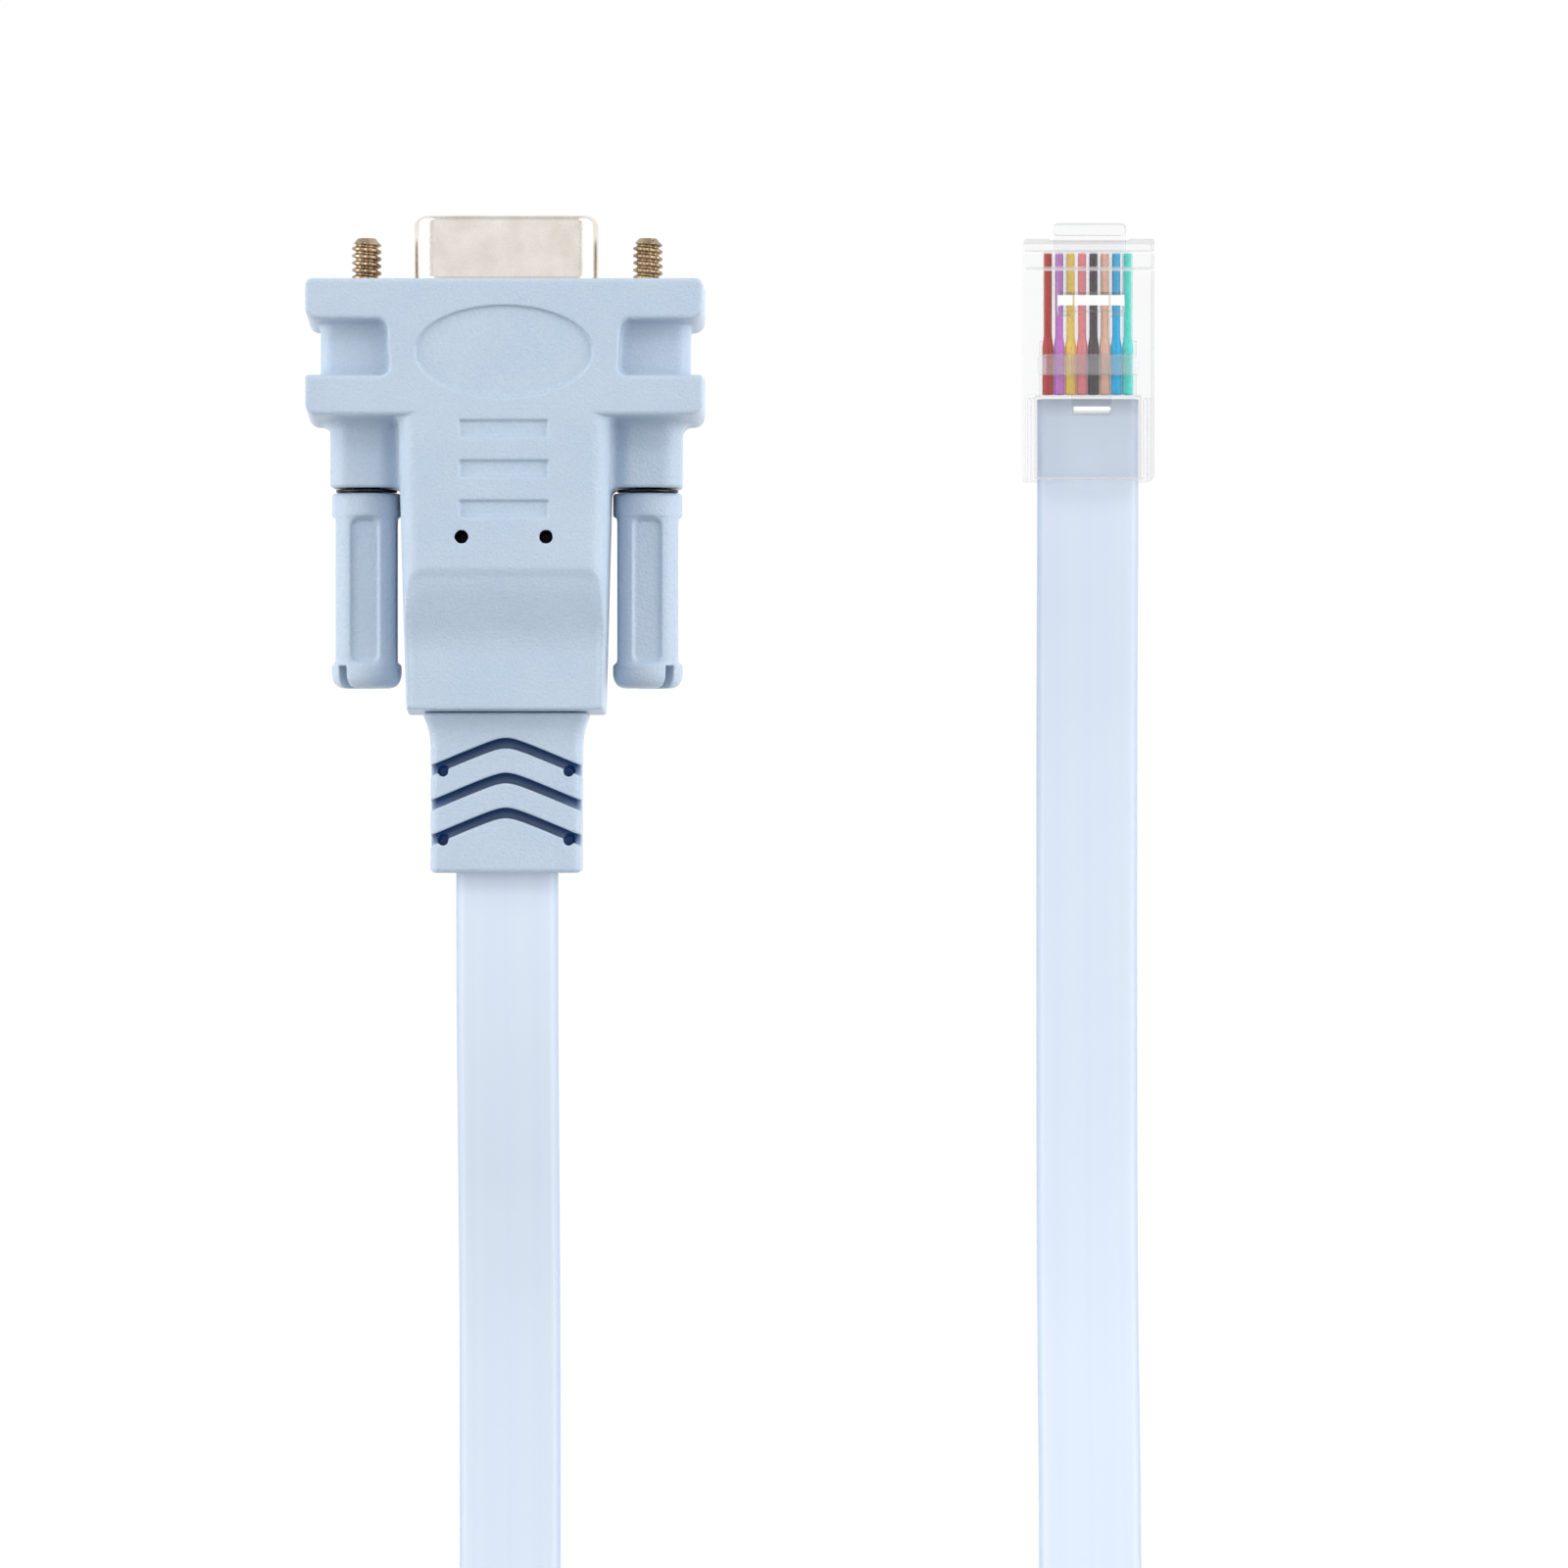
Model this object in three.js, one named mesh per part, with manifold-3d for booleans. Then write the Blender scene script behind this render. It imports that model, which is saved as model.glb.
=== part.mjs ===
// Console cable: a nine-way D-sub socket in a moulded hood with two thumbscrews, a flat
// eight-core cable, and a clear eight-way modular plug. It lies flat, as on a table.
// Millimetres, +Z up. +Y points out of both connectors' mating ends, +X to the plug's side.
// The origin is the bottom centre of the D-sub connector's box.
import * as THREE from 'three';
import { mergeVertices } from 'three/addons/utils/BufferGeometryUtils.js';
import Module from 'manifold-3d';

const wasm = await Module();
wasm.setup();

// Clearances
const fitGap = 0.15;            // between pieces that are moulded or pressed together
const runGap = 0.3;             // around anything that turns, slides or lies loose
const washerGap = 0.1;          // between a washer and the faces it lies against

// Hood: its sizes are at the mould's parting plane, halfway up
const hoodThickness = 15.5;
const flangeMargin = 5.1;       // beyond each screw's axis
const frontFlangeLength = 3.6;  // these lengths are at the top and bottom faces
const sideWindowLength = 4.9;
const rearFlangeLength = 3.5;
const tailLength = 26.3;        // from the rear flange to the hood's end
const flangeDraft = 0.1;        // slope of the flanges' rear faces, mm per mm
const sideDraft = 0.02;
const flangeCornerRadius = 0.7;
const hoodEdge = 0.5;           // chamfer along the top and bottom edges
const waistWidth = 20.3;        // between the side windows
const tailFrontWidth = 19.0;
const tailRearWidth = 17.6;
const tailCornerRadius = 1.6;
const tailEndThickness = 11.7;  // behind the scooped thumb rest
const scoopStart = 26.05;       // behind the mating face
const scoopLength = 9.0;
const columnRadius = 3.75;      // around each screw, in the side windows
const bossRadius = 3.1;         // around each screw, behind the rear flange
const bossLength = 6.2;

// Relief on the hood's upper face
const badgeWidth = 15.6;
const badgeLength = 8.0;
const badgeCentre = 6.45;       // behind the mating face
const reliefDepth = 0.35;
const barCount = 3;
const barWidth = 7.85;
const barLength = 1.53;
const barPitch = 3.53;
const firstBar = 13.2;
const pinHoleRadius = 0.58;
const pinHoleSpacing = 7.42;
const pinHoleCentre = 22.73;
const pinHoleDepth = 2.5;

// Strain relief
const reliefLength = 14.0;
const reliefNeckWidth = 14.9;
const reliefWidth = 13.4;
const reliefThickness = 6.6;
const reliefFlareLength = 3.1;
const reliefCornerRadius = 0.9;
const chevronCount = 3;
const chevronPitch = 3.09;
const chevronStart = 2.05;      // first apex behind the hood's end
const chevronSlotLength = 0.92;
const chevronSlope = 0.43;      // drop per mm to the side
const chevronDepth = 1.5;

// D-shaped shell, its flange plate, insulator and socket contacts
const shellWidth = 16.33;
const shellHeight = 7.9;
const shellCornerRadius = 2.0;
const shellSlope = Math.tan(THREE.MathUtils.degToRad(10));
const shellWall = 0.45;
const shellLength = 5.85;
const plateMargin = 2.91;       // beyond each screw's axis
const plateHeight = 12.5;
const plateThickness = 0.8;
const insulatorSetback = 0.35;
const insulatorTail = 4.0;      // behind the flange plate's front
const contactPitch = 2.77;
const contactRowSpacing = 2.84;
const contactRadius = 0.75;
const contactBore = 0.53;
const contactBoreDepth = 5.0;
const contactLength = 8.0;
const contactSetback = 0.3;     // behind the insulator's front

// Thumbscrews
const screwSpacing = 24.99;
const screwRadius = 1.42;
const threadRoot = 1.1;
const threadPitch = 0.635;
const threadTurns = 7;
const screwProtrusion = 4.05;
const screwInGrip = 9.0;
const washerRadius = 2.7;
const washerThickness = 0.25;
const gripLength = 17.3;
const collarRadius = 3.08;
const collarLength = 2.2;
const shankRadius = 2.9;
const flareRadius = 3.08;
const flareLength = 2.1;
const gripEndRadius = 2.1;
const panelCount = 4;
const panelWidth = 2.4;
const panelLength = 12.7;
const panelDepth = 0.35;
const panelStart = 2.25;        // behind the grip's front face
const driverSlotWidth = 0.7;
const driverSlotDepth = 2.0;
const screwFloat = 3.5;         // how far a thumbscrew draws back

// Flat cable
const cableWidth = 9.05;
const cableThickness = 2.5;
const cableEdge = 0.8;          // chamfer of its rounded edges
const coilTurns = 5 + 2 / 3;
const coilOuterTurn = 52.6;     // radius of the outermost turn's centre line
const coilPitch = 3.2;
const coilCentre = [52.6, -158];
const tieThickness = 0.5;
const tieWidth = 4;

// Modular plug
const plugCentreX = 51.8;
const plugFrontY = 27.4;
const plugWidth = 11.68;
const plugLength = 21.46;
const plugHeight = 6.6;
const plugRearHeight = 7.2;     // around the cable's entry
const plugRearLength = 7.6;
const plugEdge = 0.35;
const wirePitch = 1.02;
const wireCount = 8;
const wireRadius = 0.45;
const coreHeight = 3.3;         // of the cable's and the wires' centre lines, over the table
const jacketInPlug = 7.3;
const wireChannelFront = 0.9;
const bladeThickness = 0.32;
const bladeLength = 4.6;
const bladeStart = 1.2;
const bladeSetback = 0.4;
const crimpWindowStart = 10.3;
const crimpWindowLength = 1.7;

// Latch of the modular plug
const latchNoseWidth = 6.4;
const latchNoseLength = 1.0;
const latchNoseDrop = 1.6;
const latchWidth = 5.9;
const latchThickness = 0.9;
const latchTailWidth = 3.5;
const latchStopStart = 5.0;
const latchStopLength = 1.65;
const latchStopHeight = 1.3;
const latchLength = 15.8;
const latchAngle = 13;          // degrees up from the housing at rest
const latchPivotDepth = 0.6;    // behind the plug's front
const latchPocketDepth = 0.2;   // of the housing's front face, behind the latch's nose

// Places worked out from the sizes above, with the mating face at y = 0 and the hood's
// parting plane at z = 0
const hoodHalf = hoodThickness / 2;
const flangeWidth = screwSpacing + 2 * flangeMargin;
const plateWidth = screwSpacing + 2 * plateMargin;
const rearFlangeStart = frontFlangeLength + sideWindowLength;
const tailStart = rearFlangeStart + rearFlangeLength;
const hoodLength = tailStart + tailLength;
const reliefEnd = hoodLength + reliefLength;
const connectorCentreY = (shellLength - reliefEnd) / 2;
const bossEnd = tailStart + bossLength;
const washerFront = bossEnd + washerGap;
const gripFront = washerFront + washerThickness + washerGap;
const screwBore = screwRadius + runGap;

const pvc = new THREE.MeshStandardMaterial({ color: 0xb3c8e4, roughness: 0.55, metalness: 0 });
const jacket = new THREE.MeshStandardMaterial({ color: 0xbfcfe6, roughness: 0.45, metalness: 0 });
const nickel = new THREE.MeshStandardMaterial({ color: 0xb5aea4, roughness: 0.35, metalness: 1 });
const screwMetal = new THREE.MeshStandardMaterial({ color: 0x8d7f6c, roughness: 0.35, metalness: 1 });
const black = new THREE.MeshStandardMaterial({ color: 0x16171a, roughness: 0.5, metalness: 0 });
const gold = new THREE.MeshStandardMaterial({ color: 0xc99a3b, roughness: 0.25, metalness: 1 });
const clear = new THREE.MeshStandardMaterial({
  color: 0xe9edf0, roughness: 0.08, metalness: 0, transparent: true, opacity: 0.35 });
const wireColours = [0xb2483c, 0xbe7dc8, 0xebc33c, 0xeb828c, 0x3c3741, 0xf0aa8c, 0x14b4eb, 0x50d2c3];

function toSolid(geometry) {
  const bare = geometry.index ? geometry.toNonIndexed() : geometry.clone();
  bare.deleteAttribute('normal');
  bare.deleteAttribute('uv');
  const merged = mergeVertices(bare, 1e-5);
  return new wasm.Manifold(new wasm.Mesh({
    numProp: 3,
    vertProperties: new Float32Array(merged.attributes.position.array),
    triVerts: new Uint32Array(merged.index.array),
  }));
}

function toGeometry(solid) {
  const mesh = solid.getMesh();
  const geometry = new THREE.BufferGeometry();
  geometry.setAttribute('position', new THREE.BufferAttribute(new Float32Array(mesh.vertProperties), 3));
  geometry.setIndex(new THREE.BufferAttribute(new Uint32Array(mesh.triVerts), 1));
  geometry.computeVertexNormals();
  return geometry;
}

const join = (...geometries) => geometries.map(toSolid).reduce((a, b) => a.add(b));
const cut = (solid, ...geometries) => geometries.map(toSolid).reduce((a, b) => a.subtract(b), solid);

function piece(name, shape, material) {
  const mesh = new THREE.Mesh(shape instanceof THREE.BufferGeometry ? shape : toGeometry(shape), material);
  mesh.name = name;
  return mesh;
}

// A closed skin over rings of points that all have the same count; both end rings are convex
function loft(rings) {
  const count = rings[0].length;
  const faces = [];
  for (let ring = 0; ring + 1 < rings.length; ring++) {
    for (let i = 0; i < count; i++) {
      const a = ring * count + i;
      const b = ring * count + (i + 1) % count;
      faces.push(a, b, b + count, a, b + count, a + count);
    }
  }
  const last = (rings.length - 1) * count;
  for (let i = 1; i + 1 < count; i++) {
    faces.push(0, i + 1, i, last, last + i, last + i + 1);
  }
  const geometry = new THREE.BufferGeometry().setFromPoints(rings.flat());
  geometry.setIndex(signedVolume(rings.flat(), faces) > 0 ? faces : faces.reverse());
  geometry.computeVertexNormals();
  return geometry;
}

function signedVolume(points, faces) {
  let sum = 0;
  for (let i = 0; i < faces.length; i += 3) {
    const [a, b, c] = [points[faces[i]], points[faces[i + 1]], points[faces[i + 2]]];
    sum += a.dot(b.clone().cross(c));
  }
  return sum;
}

// Outline of a box with round corners, as pairs of numbers
function roundedOutline(x0, x1, y0, y1, radius, steps = 4) {
  const r = Math.max(0.02, Math.min(radius, (x1 - x0) / 2 - 0.01, (y1 - y0) / 2 - 0.01));
  const corners = [[x1 - r, y1 - r, 0], [x0 + r, y1 - r, 90], [x0 + r, y0 + r, 180], [x1 - r, y0 + r, 270]];
  return corners.flatMap(([x, y, start]) => Array.from({ length: steps + 1 }, (_, i) => {
    const angle = THREE.MathUtils.degToRad(start + 90 * i / steps);
    return [x + r * Math.cos(angle), y + r * Math.sin(angle)];
  }));
}

// Block that narrows away from its middle plane, as a moulding does, with chamfered edges
function moulding({ x0, x1, y0, y1, half, radius, sideTaper, rearTaper, frontTaper, edge }) {
  const levels = [-half, -(half - edge), 0, half - edge, half];
  return loft(levels.map((z) => {
    const chamfer = Math.abs(z) === half ? edge : 0;
    const side = sideTaper * Math.abs(z) + chamfer;
    const rear = rearTaper * Math.abs(z) + chamfer;
    const front = frontTaper * Math.abs(z) + (frontTaper > 0 ? chamfer : 0);
    return roundedOutline(x0 + side, x1 - side, y0 + rear, y1 - front, radius)
      .map(([x, y]) => new THREE.Vector3(x, y, z));
  }));
}

function box(x0, x1, y0, y1, z0, z1) {
  return new THREE.BoxGeometry(x1 - x0, y1 - y0, z1 - z0)
    .translate((x0 + x1) / 2, (y0 + y1) / 2, (z0 + z1) / 2);
}

function cylinderAlongY(radius, x, y0, y1, z = 0, sides = 24) {
  return new THREE.CylinderGeometry(radius, radius, y1 - y0, sides).translate(x, (y0 + y1) / 2, z);
}

function cylinderAlongZ(radius, x, y, z0, z1, sides = 16) {
  return new THREE.CylinderGeometry(radius, radius, z1 - z0, sides)
    .rotateX(Math.PI / 2).translate(x, y, (z0 + z1) / 2);
}

// Outline of the D-shaped shell, offset inwards by a given distance, wide side up
function shellOutline(inset, steps = 5) {
  const r = shellCornerRadius - inset;
  const top = shellWidth / 2 - shellCornerRadius;
  const up = shellHeight / 2 - shellCornerRadius;
  const bottom = top - 2 * up * shellSlope;
  const corners = [[top, up, -10, 90], [-top, up, 90, 190], [-bottom, -up, 190, 270], [bottom, -up, 270, 350]];
  return corners.flatMap(([x, z, from, to]) => Array.from({ length: steps + 1 }, (_, i) => {
    const angle = THREE.MathUtils.degToRad(from + (to - from) * i / steps);
    return [x + r * Math.cos(angle), z + r * Math.sin(angle)];
  }));
}

const prismAlongY = (outline, y0, y1) =>
  loft([y0, y1].map((y) => outline.map(([x, z]) => new THREE.Vector3(x, y, z))));

// Half the tail's thickness at a distance behind the mating face: full, then a scoop that
// starts steep and flattens out
function tailHalf(distance) {
  const along = THREE.MathUtils.clamp((distance - scoopStart) / scoopLength, 0, 1);
  return hoodHalf - (hoodThickness - tailEndThickness) / 2 * (1 - (1 - along) ** 2);
}

function tailSection(distance, inset = 0) {
  const along = (distance - tailStart) / tailLength;
  const half = THREE.MathUtils.lerp(tailFrontWidth, tailRearWidth, along) / 2 - inset;
  const up = tailHalf(distance) - inset;
  const taper = sideDraft * up;
  const upper = roundedOutline(-half + taper, half - taper, -up, up, tailCornerRadius)
    .filter(([, z]) => z > 0);
  const lower = upper.map(([x, z]) => [x, -z]).reverse();
  const ring = [...upper, [-half, 0], ...lower, [half, 0]];
  return ring.map(([x, z]) => new THREE.Vector3(x, -distance, z));
}

function hoodTail() {
  const stops = [tailStart - rearFlangeLength / 2, scoopStart, scoopStart + scoopLength * 0.15,
    scoopStart + scoopLength * 0.3, scoopStart + scoopLength * 0.5, scoopStart + scoopLength * 0.75,
    scoopStart + scoopLength, hoodLength - hoodEdge];
  return loft([...stops.map((stop) => tailSection(stop)), tailSection(hoodLength, hoodEdge)]);
}

function badgeCutter() {
  const outline = Array.from({ length: 40 }, (_, i) => {
    const angle = 2 * Math.PI * i / 40;
    return [badgeWidth / 2 * Math.cos(angle), badgeLength / 2 * Math.sin(angle) - badgeCentre];
  });
  return loft([hoodHalf - reliefDepth, hoodHalf + 1].map((z) => outline.map(([x, y]) => new THREE.Vector3(x, y, z))));
}

function hood() {
  const flange = { x0: -flangeWidth / 2, x1: flangeWidth / 2, half: hoodHalf, radius: flangeCornerRadius,
    sideTaper: sideDraft, rearTaper: flangeDraft, edge: hoodEdge };
  const deeper = flangeDraft * hoodHalf;
  const sides = [-1, 1];
  let solid = join(
    moulding({ ...flange, y0: -frontFlangeLength - deeper, y1: 0, frontTaper: 0 }),
    moulding({ ...flange, y0: -tailStart - deeper, y1: -rearFlangeStart, frontTaper: sideDraft }),
    moulding({ x0: -waistWidth / 2, x1: waistWidth / 2, y0: -tailStart, y1: -frontFlangeLength / 2, half: hoodHalf,
      radius: flangeCornerRadius, sideTaper: sideDraft, rearTaper: 0, frontTaper: 0, edge: hoodEdge }),
    hoodTail(),
    ...sides.map((side) => cylinderAlongY(columnRadius, side * screwSpacing / 2,
      -rearFlangeStart - rearFlangeLength / 2, -frontFlangeLength / 2)),
    ...sides.map((side) => cylinderAlongY(bossRadius, side * screwSpacing / 2, -bossEnd, -tailStart + rearFlangeLength / 2)),
  );
  for (const side of sides) {
    const x = side * screwSpacing / 2;
    solid = cut(solid,
      cylinderAlongY(screwBore, x, -bossEnd - 1, 1),
      cylinderAlongY(Math.max(collarRadius, flareRadius, washerRadius) + runGap, x,
        -gripFront - gripLength - screwFloat - 1, -bossEnd));
  }
  const plateGap = fitGap;
  solid = cut(solid,
    box(-plateWidth / 2 - plateGap, plateWidth / 2 + plateGap, -plateThickness - fitGap, 1,
      -plateHeight / 2 - plateGap, plateHeight / 2 + plateGap),
    prismAlongY(shellOutline(shellWall), -insulatorTail - contactLength / 2 - fitGap, 0),
    badgeCutter());
  for (let bar = 0; bar < barCount; bar++) {
    const y = -firstBar - bar * barPitch;
    solid = cut(solid, box(-barWidth / 2, barWidth / 2, y - barLength / 2, y + barLength / 2,
      hoodHalf - reliefDepth, hoodHalf + 1));
  }
  for (const side of sides) {
    solid = cut(solid, cylinderAlongZ(pinHoleRadius, side * pinHoleSpacing / 2, -pinHoleCentre,
      hoodHalf - pinHoleDepth, hoodHalf + 1));
  }
  return piece('hood', solid, pvc);
}

function strainRelief() {
  const front = hoodLength + fitGap;
  const section = (distance, width, inset = 0) =>
    roundedOutline(-width / 2 + inset, width / 2 - inset, -reliefThickness / 2 + inset,
      reliefThickness / 2 - inset, reliefCornerRadius).map(([x, z]) => new THREE.Vector3(x, -distance, z));
  const flareSteps = [0, 0.35, 0.7, 1];
  const rings = flareSteps.map((t) => section(front + t * reliefFlareLength,
    reliefWidth + (reliefNeckWidth - reliefWidth) * (1 - t) ** 2));
  let solid = toSolid(loft([...rings, section(reliefEnd - 0.5, reliefWidth), section(reliefEnd, reliefWidth, 0.45)]));
  for (let slot = 0; slot < chevronCount; slot++) {
    const apex = -(hoodLength + chevronStart + slot * chevronPitch);
    const reach = reliefNeckWidth / 2 + 1;
    const drop = chevronSlope * reach;
    for (const side of [-1, 1]) {
      const shape = new THREE.Shape([
        new THREE.Vector2(-side * 0.2, apex), new THREE.Vector2(side * reach, apex - drop),
        new THREE.Vector2(side * reach, apex - drop - chevronSlotLength),
        new THREE.Vector2(-side * 0.2, apex - chevronSlotLength)]);
      for (const z of [reliefThickness / 2 - chevronDepth, -reliefThickness / 2 - 1]) {
        solid = cut(solid, new THREE.ExtrudeGeometry(shape, { depth: chevronDepth + 1, bevelEnabled: false })
          .translate(0, 0, z));
      }
    }
  }
  return piece('strain_relief', solid, pvc);
}

function shell() {
  const wall = cut(join(
    prismAlongY(shellOutline(0), -plateThickness, shellLength),
    moulding({ x0: -plateWidth / 2, x1: plateWidth / 2, y0: -plateHeight / 2, y1: plateHeight / 2,
      half: plateThickness / 2, radius: 1, sideTaper: 0, rearTaper: 0, frontTaper: 0, edge: 0.1 })
      .rotateX(Math.PI / 2).translate(0, -plateThickness / 2, 0)),
  prismAlongY(shellOutline(shellWall), -plateThickness - 1, shellLength + 1));
  const holes = [-1, 1].map((side) => cylinderAlongY(screwBore, side * screwSpacing / 2, -plateThickness - 1, 1));
  return piece('dsub_shell', cut(wall, ...holes), nickel);
}

// Five contacts in the upper row, four in the lower
function contactPlaces() {
  return [5, 4].flatMap((count, row) => Array.from({ length: count }, (_, i) =>
    [(i - (count - 1) / 2) * contactPitch, (0.5 - row) * contactRowSpacing]));
}

function insulator() {
  const body = toSolid(prismAlongY(shellOutline(shellWall + fitGap), -insulatorTail, shellLength - insulatorSetback));
  const holes = contactPlaces().map(([x, z]) =>
    cylinderAlongY(contactRadius + fitGap, x, -insulatorTail - 1, shellLength + 1, z, 12));
  return piece('insulator', cut(body, ...holes), black);
}

function socketContacts() {
  const front = shellLength - insulatorSetback - contactSetback;
  const points = [[0, -contactLength], [contactRadius, -contactLength], [contactRadius, 0], [contactBore, 0],
    [contactBore, -contactBoreDepth], [0, -contactBoreDepth]].map(([x, y]) => new THREE.Vector2(x, y));
  return contactPlaces().map(([x, z], i) => {
    const mesh = piece(`socket_contact_${i + 1}`, toSolid(new THREE.LatheGeometry(points, 12)), gold);
    mesh.position.set(x, front, z);
    return mesh;
  });
}

function jackscrew(name) {
  const tip = screwProtrusion;
  const profile = [[0, tip], [screwRadius - 0.35, tip]];
  for (let turn = 0; turn < threadTurns; turn++) {
    const crest = tip - 0.3 - turn * threadPitch;
    profile.push([screwRadius, crest], [screwRadius, crest - threadPitch / 4], [threadRoot, crest - threadPitch * 0.55],
      [threadRoot, crest - threadPitch * 0.7]);
  }
  const threadEnd = tip - 0.3 - threadTurns * threadPitch;
  profile.push([screwRadius, threadEnd], [screwRadius, -gripFront - screwInGrip], [0, -gripFront - screwInGrip]);
  const points = profile.reverse().map(([x, y]) => new THREE.Vector2(x, y));
  return piece(name, toSolid(new THREE.LatheGeometry(points, 16)), screwMetal);
}

function washer(name) {
  const inner = screwRadius + fitGap;
  const points = [[inner, -washerThickness], [washerRadius, -washerThickness], [washerRadius, 0], [inner, 0],
    [inner, -washerThickness]].map(([x, y]) => new THREE.Vector2(x, y));
  const mesh = piece(name, toSolid(new THREE.LatheGeometry(points, 24)), nickel);
  mesh.position.y = -washerFront;
  return mesh;
}

function grip(name, slotAngle) {
  const bore = screwRadius + fitGap;
  const boreDepth = screwInGrip + fitGap;
  const flareStart = gripLength - flareLength;
  const profile = [[bore, 0], [collarRadius - 0.2, 0], [collarRadius, 0.2], [collarRadius, collarLength - 0.4],
    [shankRadius, collarLength], [shankRadius, flareStart - 0.5], [flareRadius, flareStart],
    [flareRadius, flareStart + 0.5], [gripEndRadius, gripLength], [0, gripLength], [0, boreDepth], [bore, boreDepth],
    [bore, 0]];
  const points = profile.map(([x, y]) => new THREE.Vector2(x, -y)).reverse();
  let solid = toSolid(new THREE.LatheGeometry(points, 24));
  for (let panel = 0; panel < panelCount; panel++) {
    const angle = 2 * Math.PI * panel / panelCount;
    solid = cut(solid, box(-panelWidth / 2, panelWidth / 2, -panelStart - panelLength, -panelStart,
      shankRadius - panelDepth, shankRadius + 1).rotateY(angle));
  }
  solid = cut(solid, box(-driverSlotWidth / 2, driverSlotWidth / 2, -gripLength - 1, -gripLength + driverSlotDepth,
    -flareRadius - 1, flareRadius + 1).rotateY(THREE.MathUtils.degToRad(slotAngle)));
  const mesh = piece(name, solid, pvc);
  mesh.position.y = -gripFront;
  return mesh;
}

function thumbscrew(side, sideName, slotAngle) {
  const group = new THREE.Group();
  group.position.x = side * screwSpacing / 2;
  group.add(jackscrew(`jackscrew_${sideName}`), washer(`washer_${sideName}`), grip(`grip_${sideName}`, slotAngle));
  return group;
}

function dsubConnector() {
  const group = new THREE.Group();
  group.position.set(0, -connectorCentreY, hoodHalf);
  group.add(hood(), strainRelief(), shell(), insulator(), ...socketContacts(),
    thumbscrew(-1, 'left', -45), thumbscrew(1, 'right', 45));
  return group;
}

// Cable route: x, y, z of the centre line and the turn of its flat face from lying flat
const cableExit = -connectorCentreY - reliefEnd;
const coilLift = tieThickness + runGap;
const edgeHeight = cableWidth / 2 + coilLift;
const fromHoodRoute = [
  [0, cableExit - 0.3, 7.75, 0], [0, -34, 7.7, 0], [0, -42, 7.0, 0], [0, -51, 5.4, 0], [0, -60, 3.4, 0],
  [0, -69, 2.0, 0], [0, -79, 1.4, 0], [0, -90, 1.35, 0], [0, -99, 1.8, 4], [0, -107, 3.0, 20],
  [0, -115, 4.3, 45], [0, -123, 5.1, 70], [0, -131, 5.33, 86], [0, -139, 5.33, 90]];
const toPlugRoute = [
  [68.2, -127.6, 11.5, 0], [62.9, -122.2, 11.6, 0], [58.2, -115.7, 11.65, 0], [54.6, -108.3, 11.6, 0],
  [52.4, -101.0, 11.2, 0], [51.8, -93, 9.8, 0], [51.8, -84, 7.4, 0], [51.8, -75, 4.9, 0], [51.8, -66, 2.9, 0],
  [51.8, -56, 1.7, 0], [51.8, -44, 1.35, 0], [51.8, -30, 1.35, 0], [51.8, -18, 1.5, 0], [51.8, -8, 2.3, 0],
  [51.8, 0, 3.1, 0], [51.8, 6, 3.3, 0], [51.8, 13.0, 3.3, 0]];

// A straight extruded section, bent along the route and turned about its centre line
function cableTube(name, route, steps) {
  const w = cableWidth / 2;
  const t = cableThickness / 2;
  const section = new THREE.Shape([[w, -t + cableEdge], [w, t - cableEdge], [w - cableEdge, t], [-w + cableEdge, t],
    [-w, t - cableEdge], [-w, -t + cableEdge], [-w + cableEdge, -t], [w - cableEdge, -t]]
    .map(([x, y]) => new THREE.Vector2(x, y)));
  const geometry = new THREE.ExtrudeGeometry(section, { depth: 1, steps, bevelEnabled: false });
  const curve = new THREE.CatmullRomCurve3(route.map(([x, y, z]) => new THREE.Vector3(x, y, z)));
  const turns = route.map(([, , , turn]) => turn);
  const position = geometry.attributes.position;
  const point = new THREE.Vector3();
  for (let i = 0; i < position.count; i++) {
    const u = THREE.MathUtils.clamp(position.getZ(i), 0, 1);
    const at = u * (turns.length - 1);
    const from = Math.min(Math.floor(at), turns.length - 2);
    const turn = THREE.MathUtils.degToRad(THREE.MathUtils.lerp(turns[from], turns[from + 1], at - from));
    const ahead = curve.getTangent(u);
    const level = new THREE.Vector3(-ahead.y, ahead.x, 0).normalize();
    const upright = ahead.clone().cross(level).normalize();
    const across = level.clone().multiplyScalar(Math.cos(turn)).addScaledVector(upright, Math.sin(turn));
    const through = ahead.clone().cross(across);
    point.copy(curve.getPoint(u)).addScaledVector(across, position.getX(i)).addScaledVector(through, position.getY(i));
    position.setXYZ(i, point.x, point.y, point.z);
  }
  const solid = toSolid(geometry);
  return piece(name, solid.volume() < 0 ? geometry : solid, jacket);
}

// Radius of the innermost turn's centre line
const coilInnerTurn = coilOuterTurn - coilPitch * coilTurns;

function cableCoil() {
  const inner = coilInnerTurn - cableThickness / 2;
  const outer = coilOuterTurn + cableThickness / 2;
  const points = [[inner, 0], [outer, 0], [outer, cableWidth], [inner, cableWidth], [inner, 0]]
    .map(([x, y]) => new THREE.Vector2(x, y));
  const geometry = new THREE.LatheGeometry(points, 48).rotateX(Math.PI / 2);
  const mesh = piece('cable_coil', toSolid(geometry), jacket);
  mesh.position.set(coilCentre[0], coilCentre[1], coilLift);
  return mesh;
}

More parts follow.
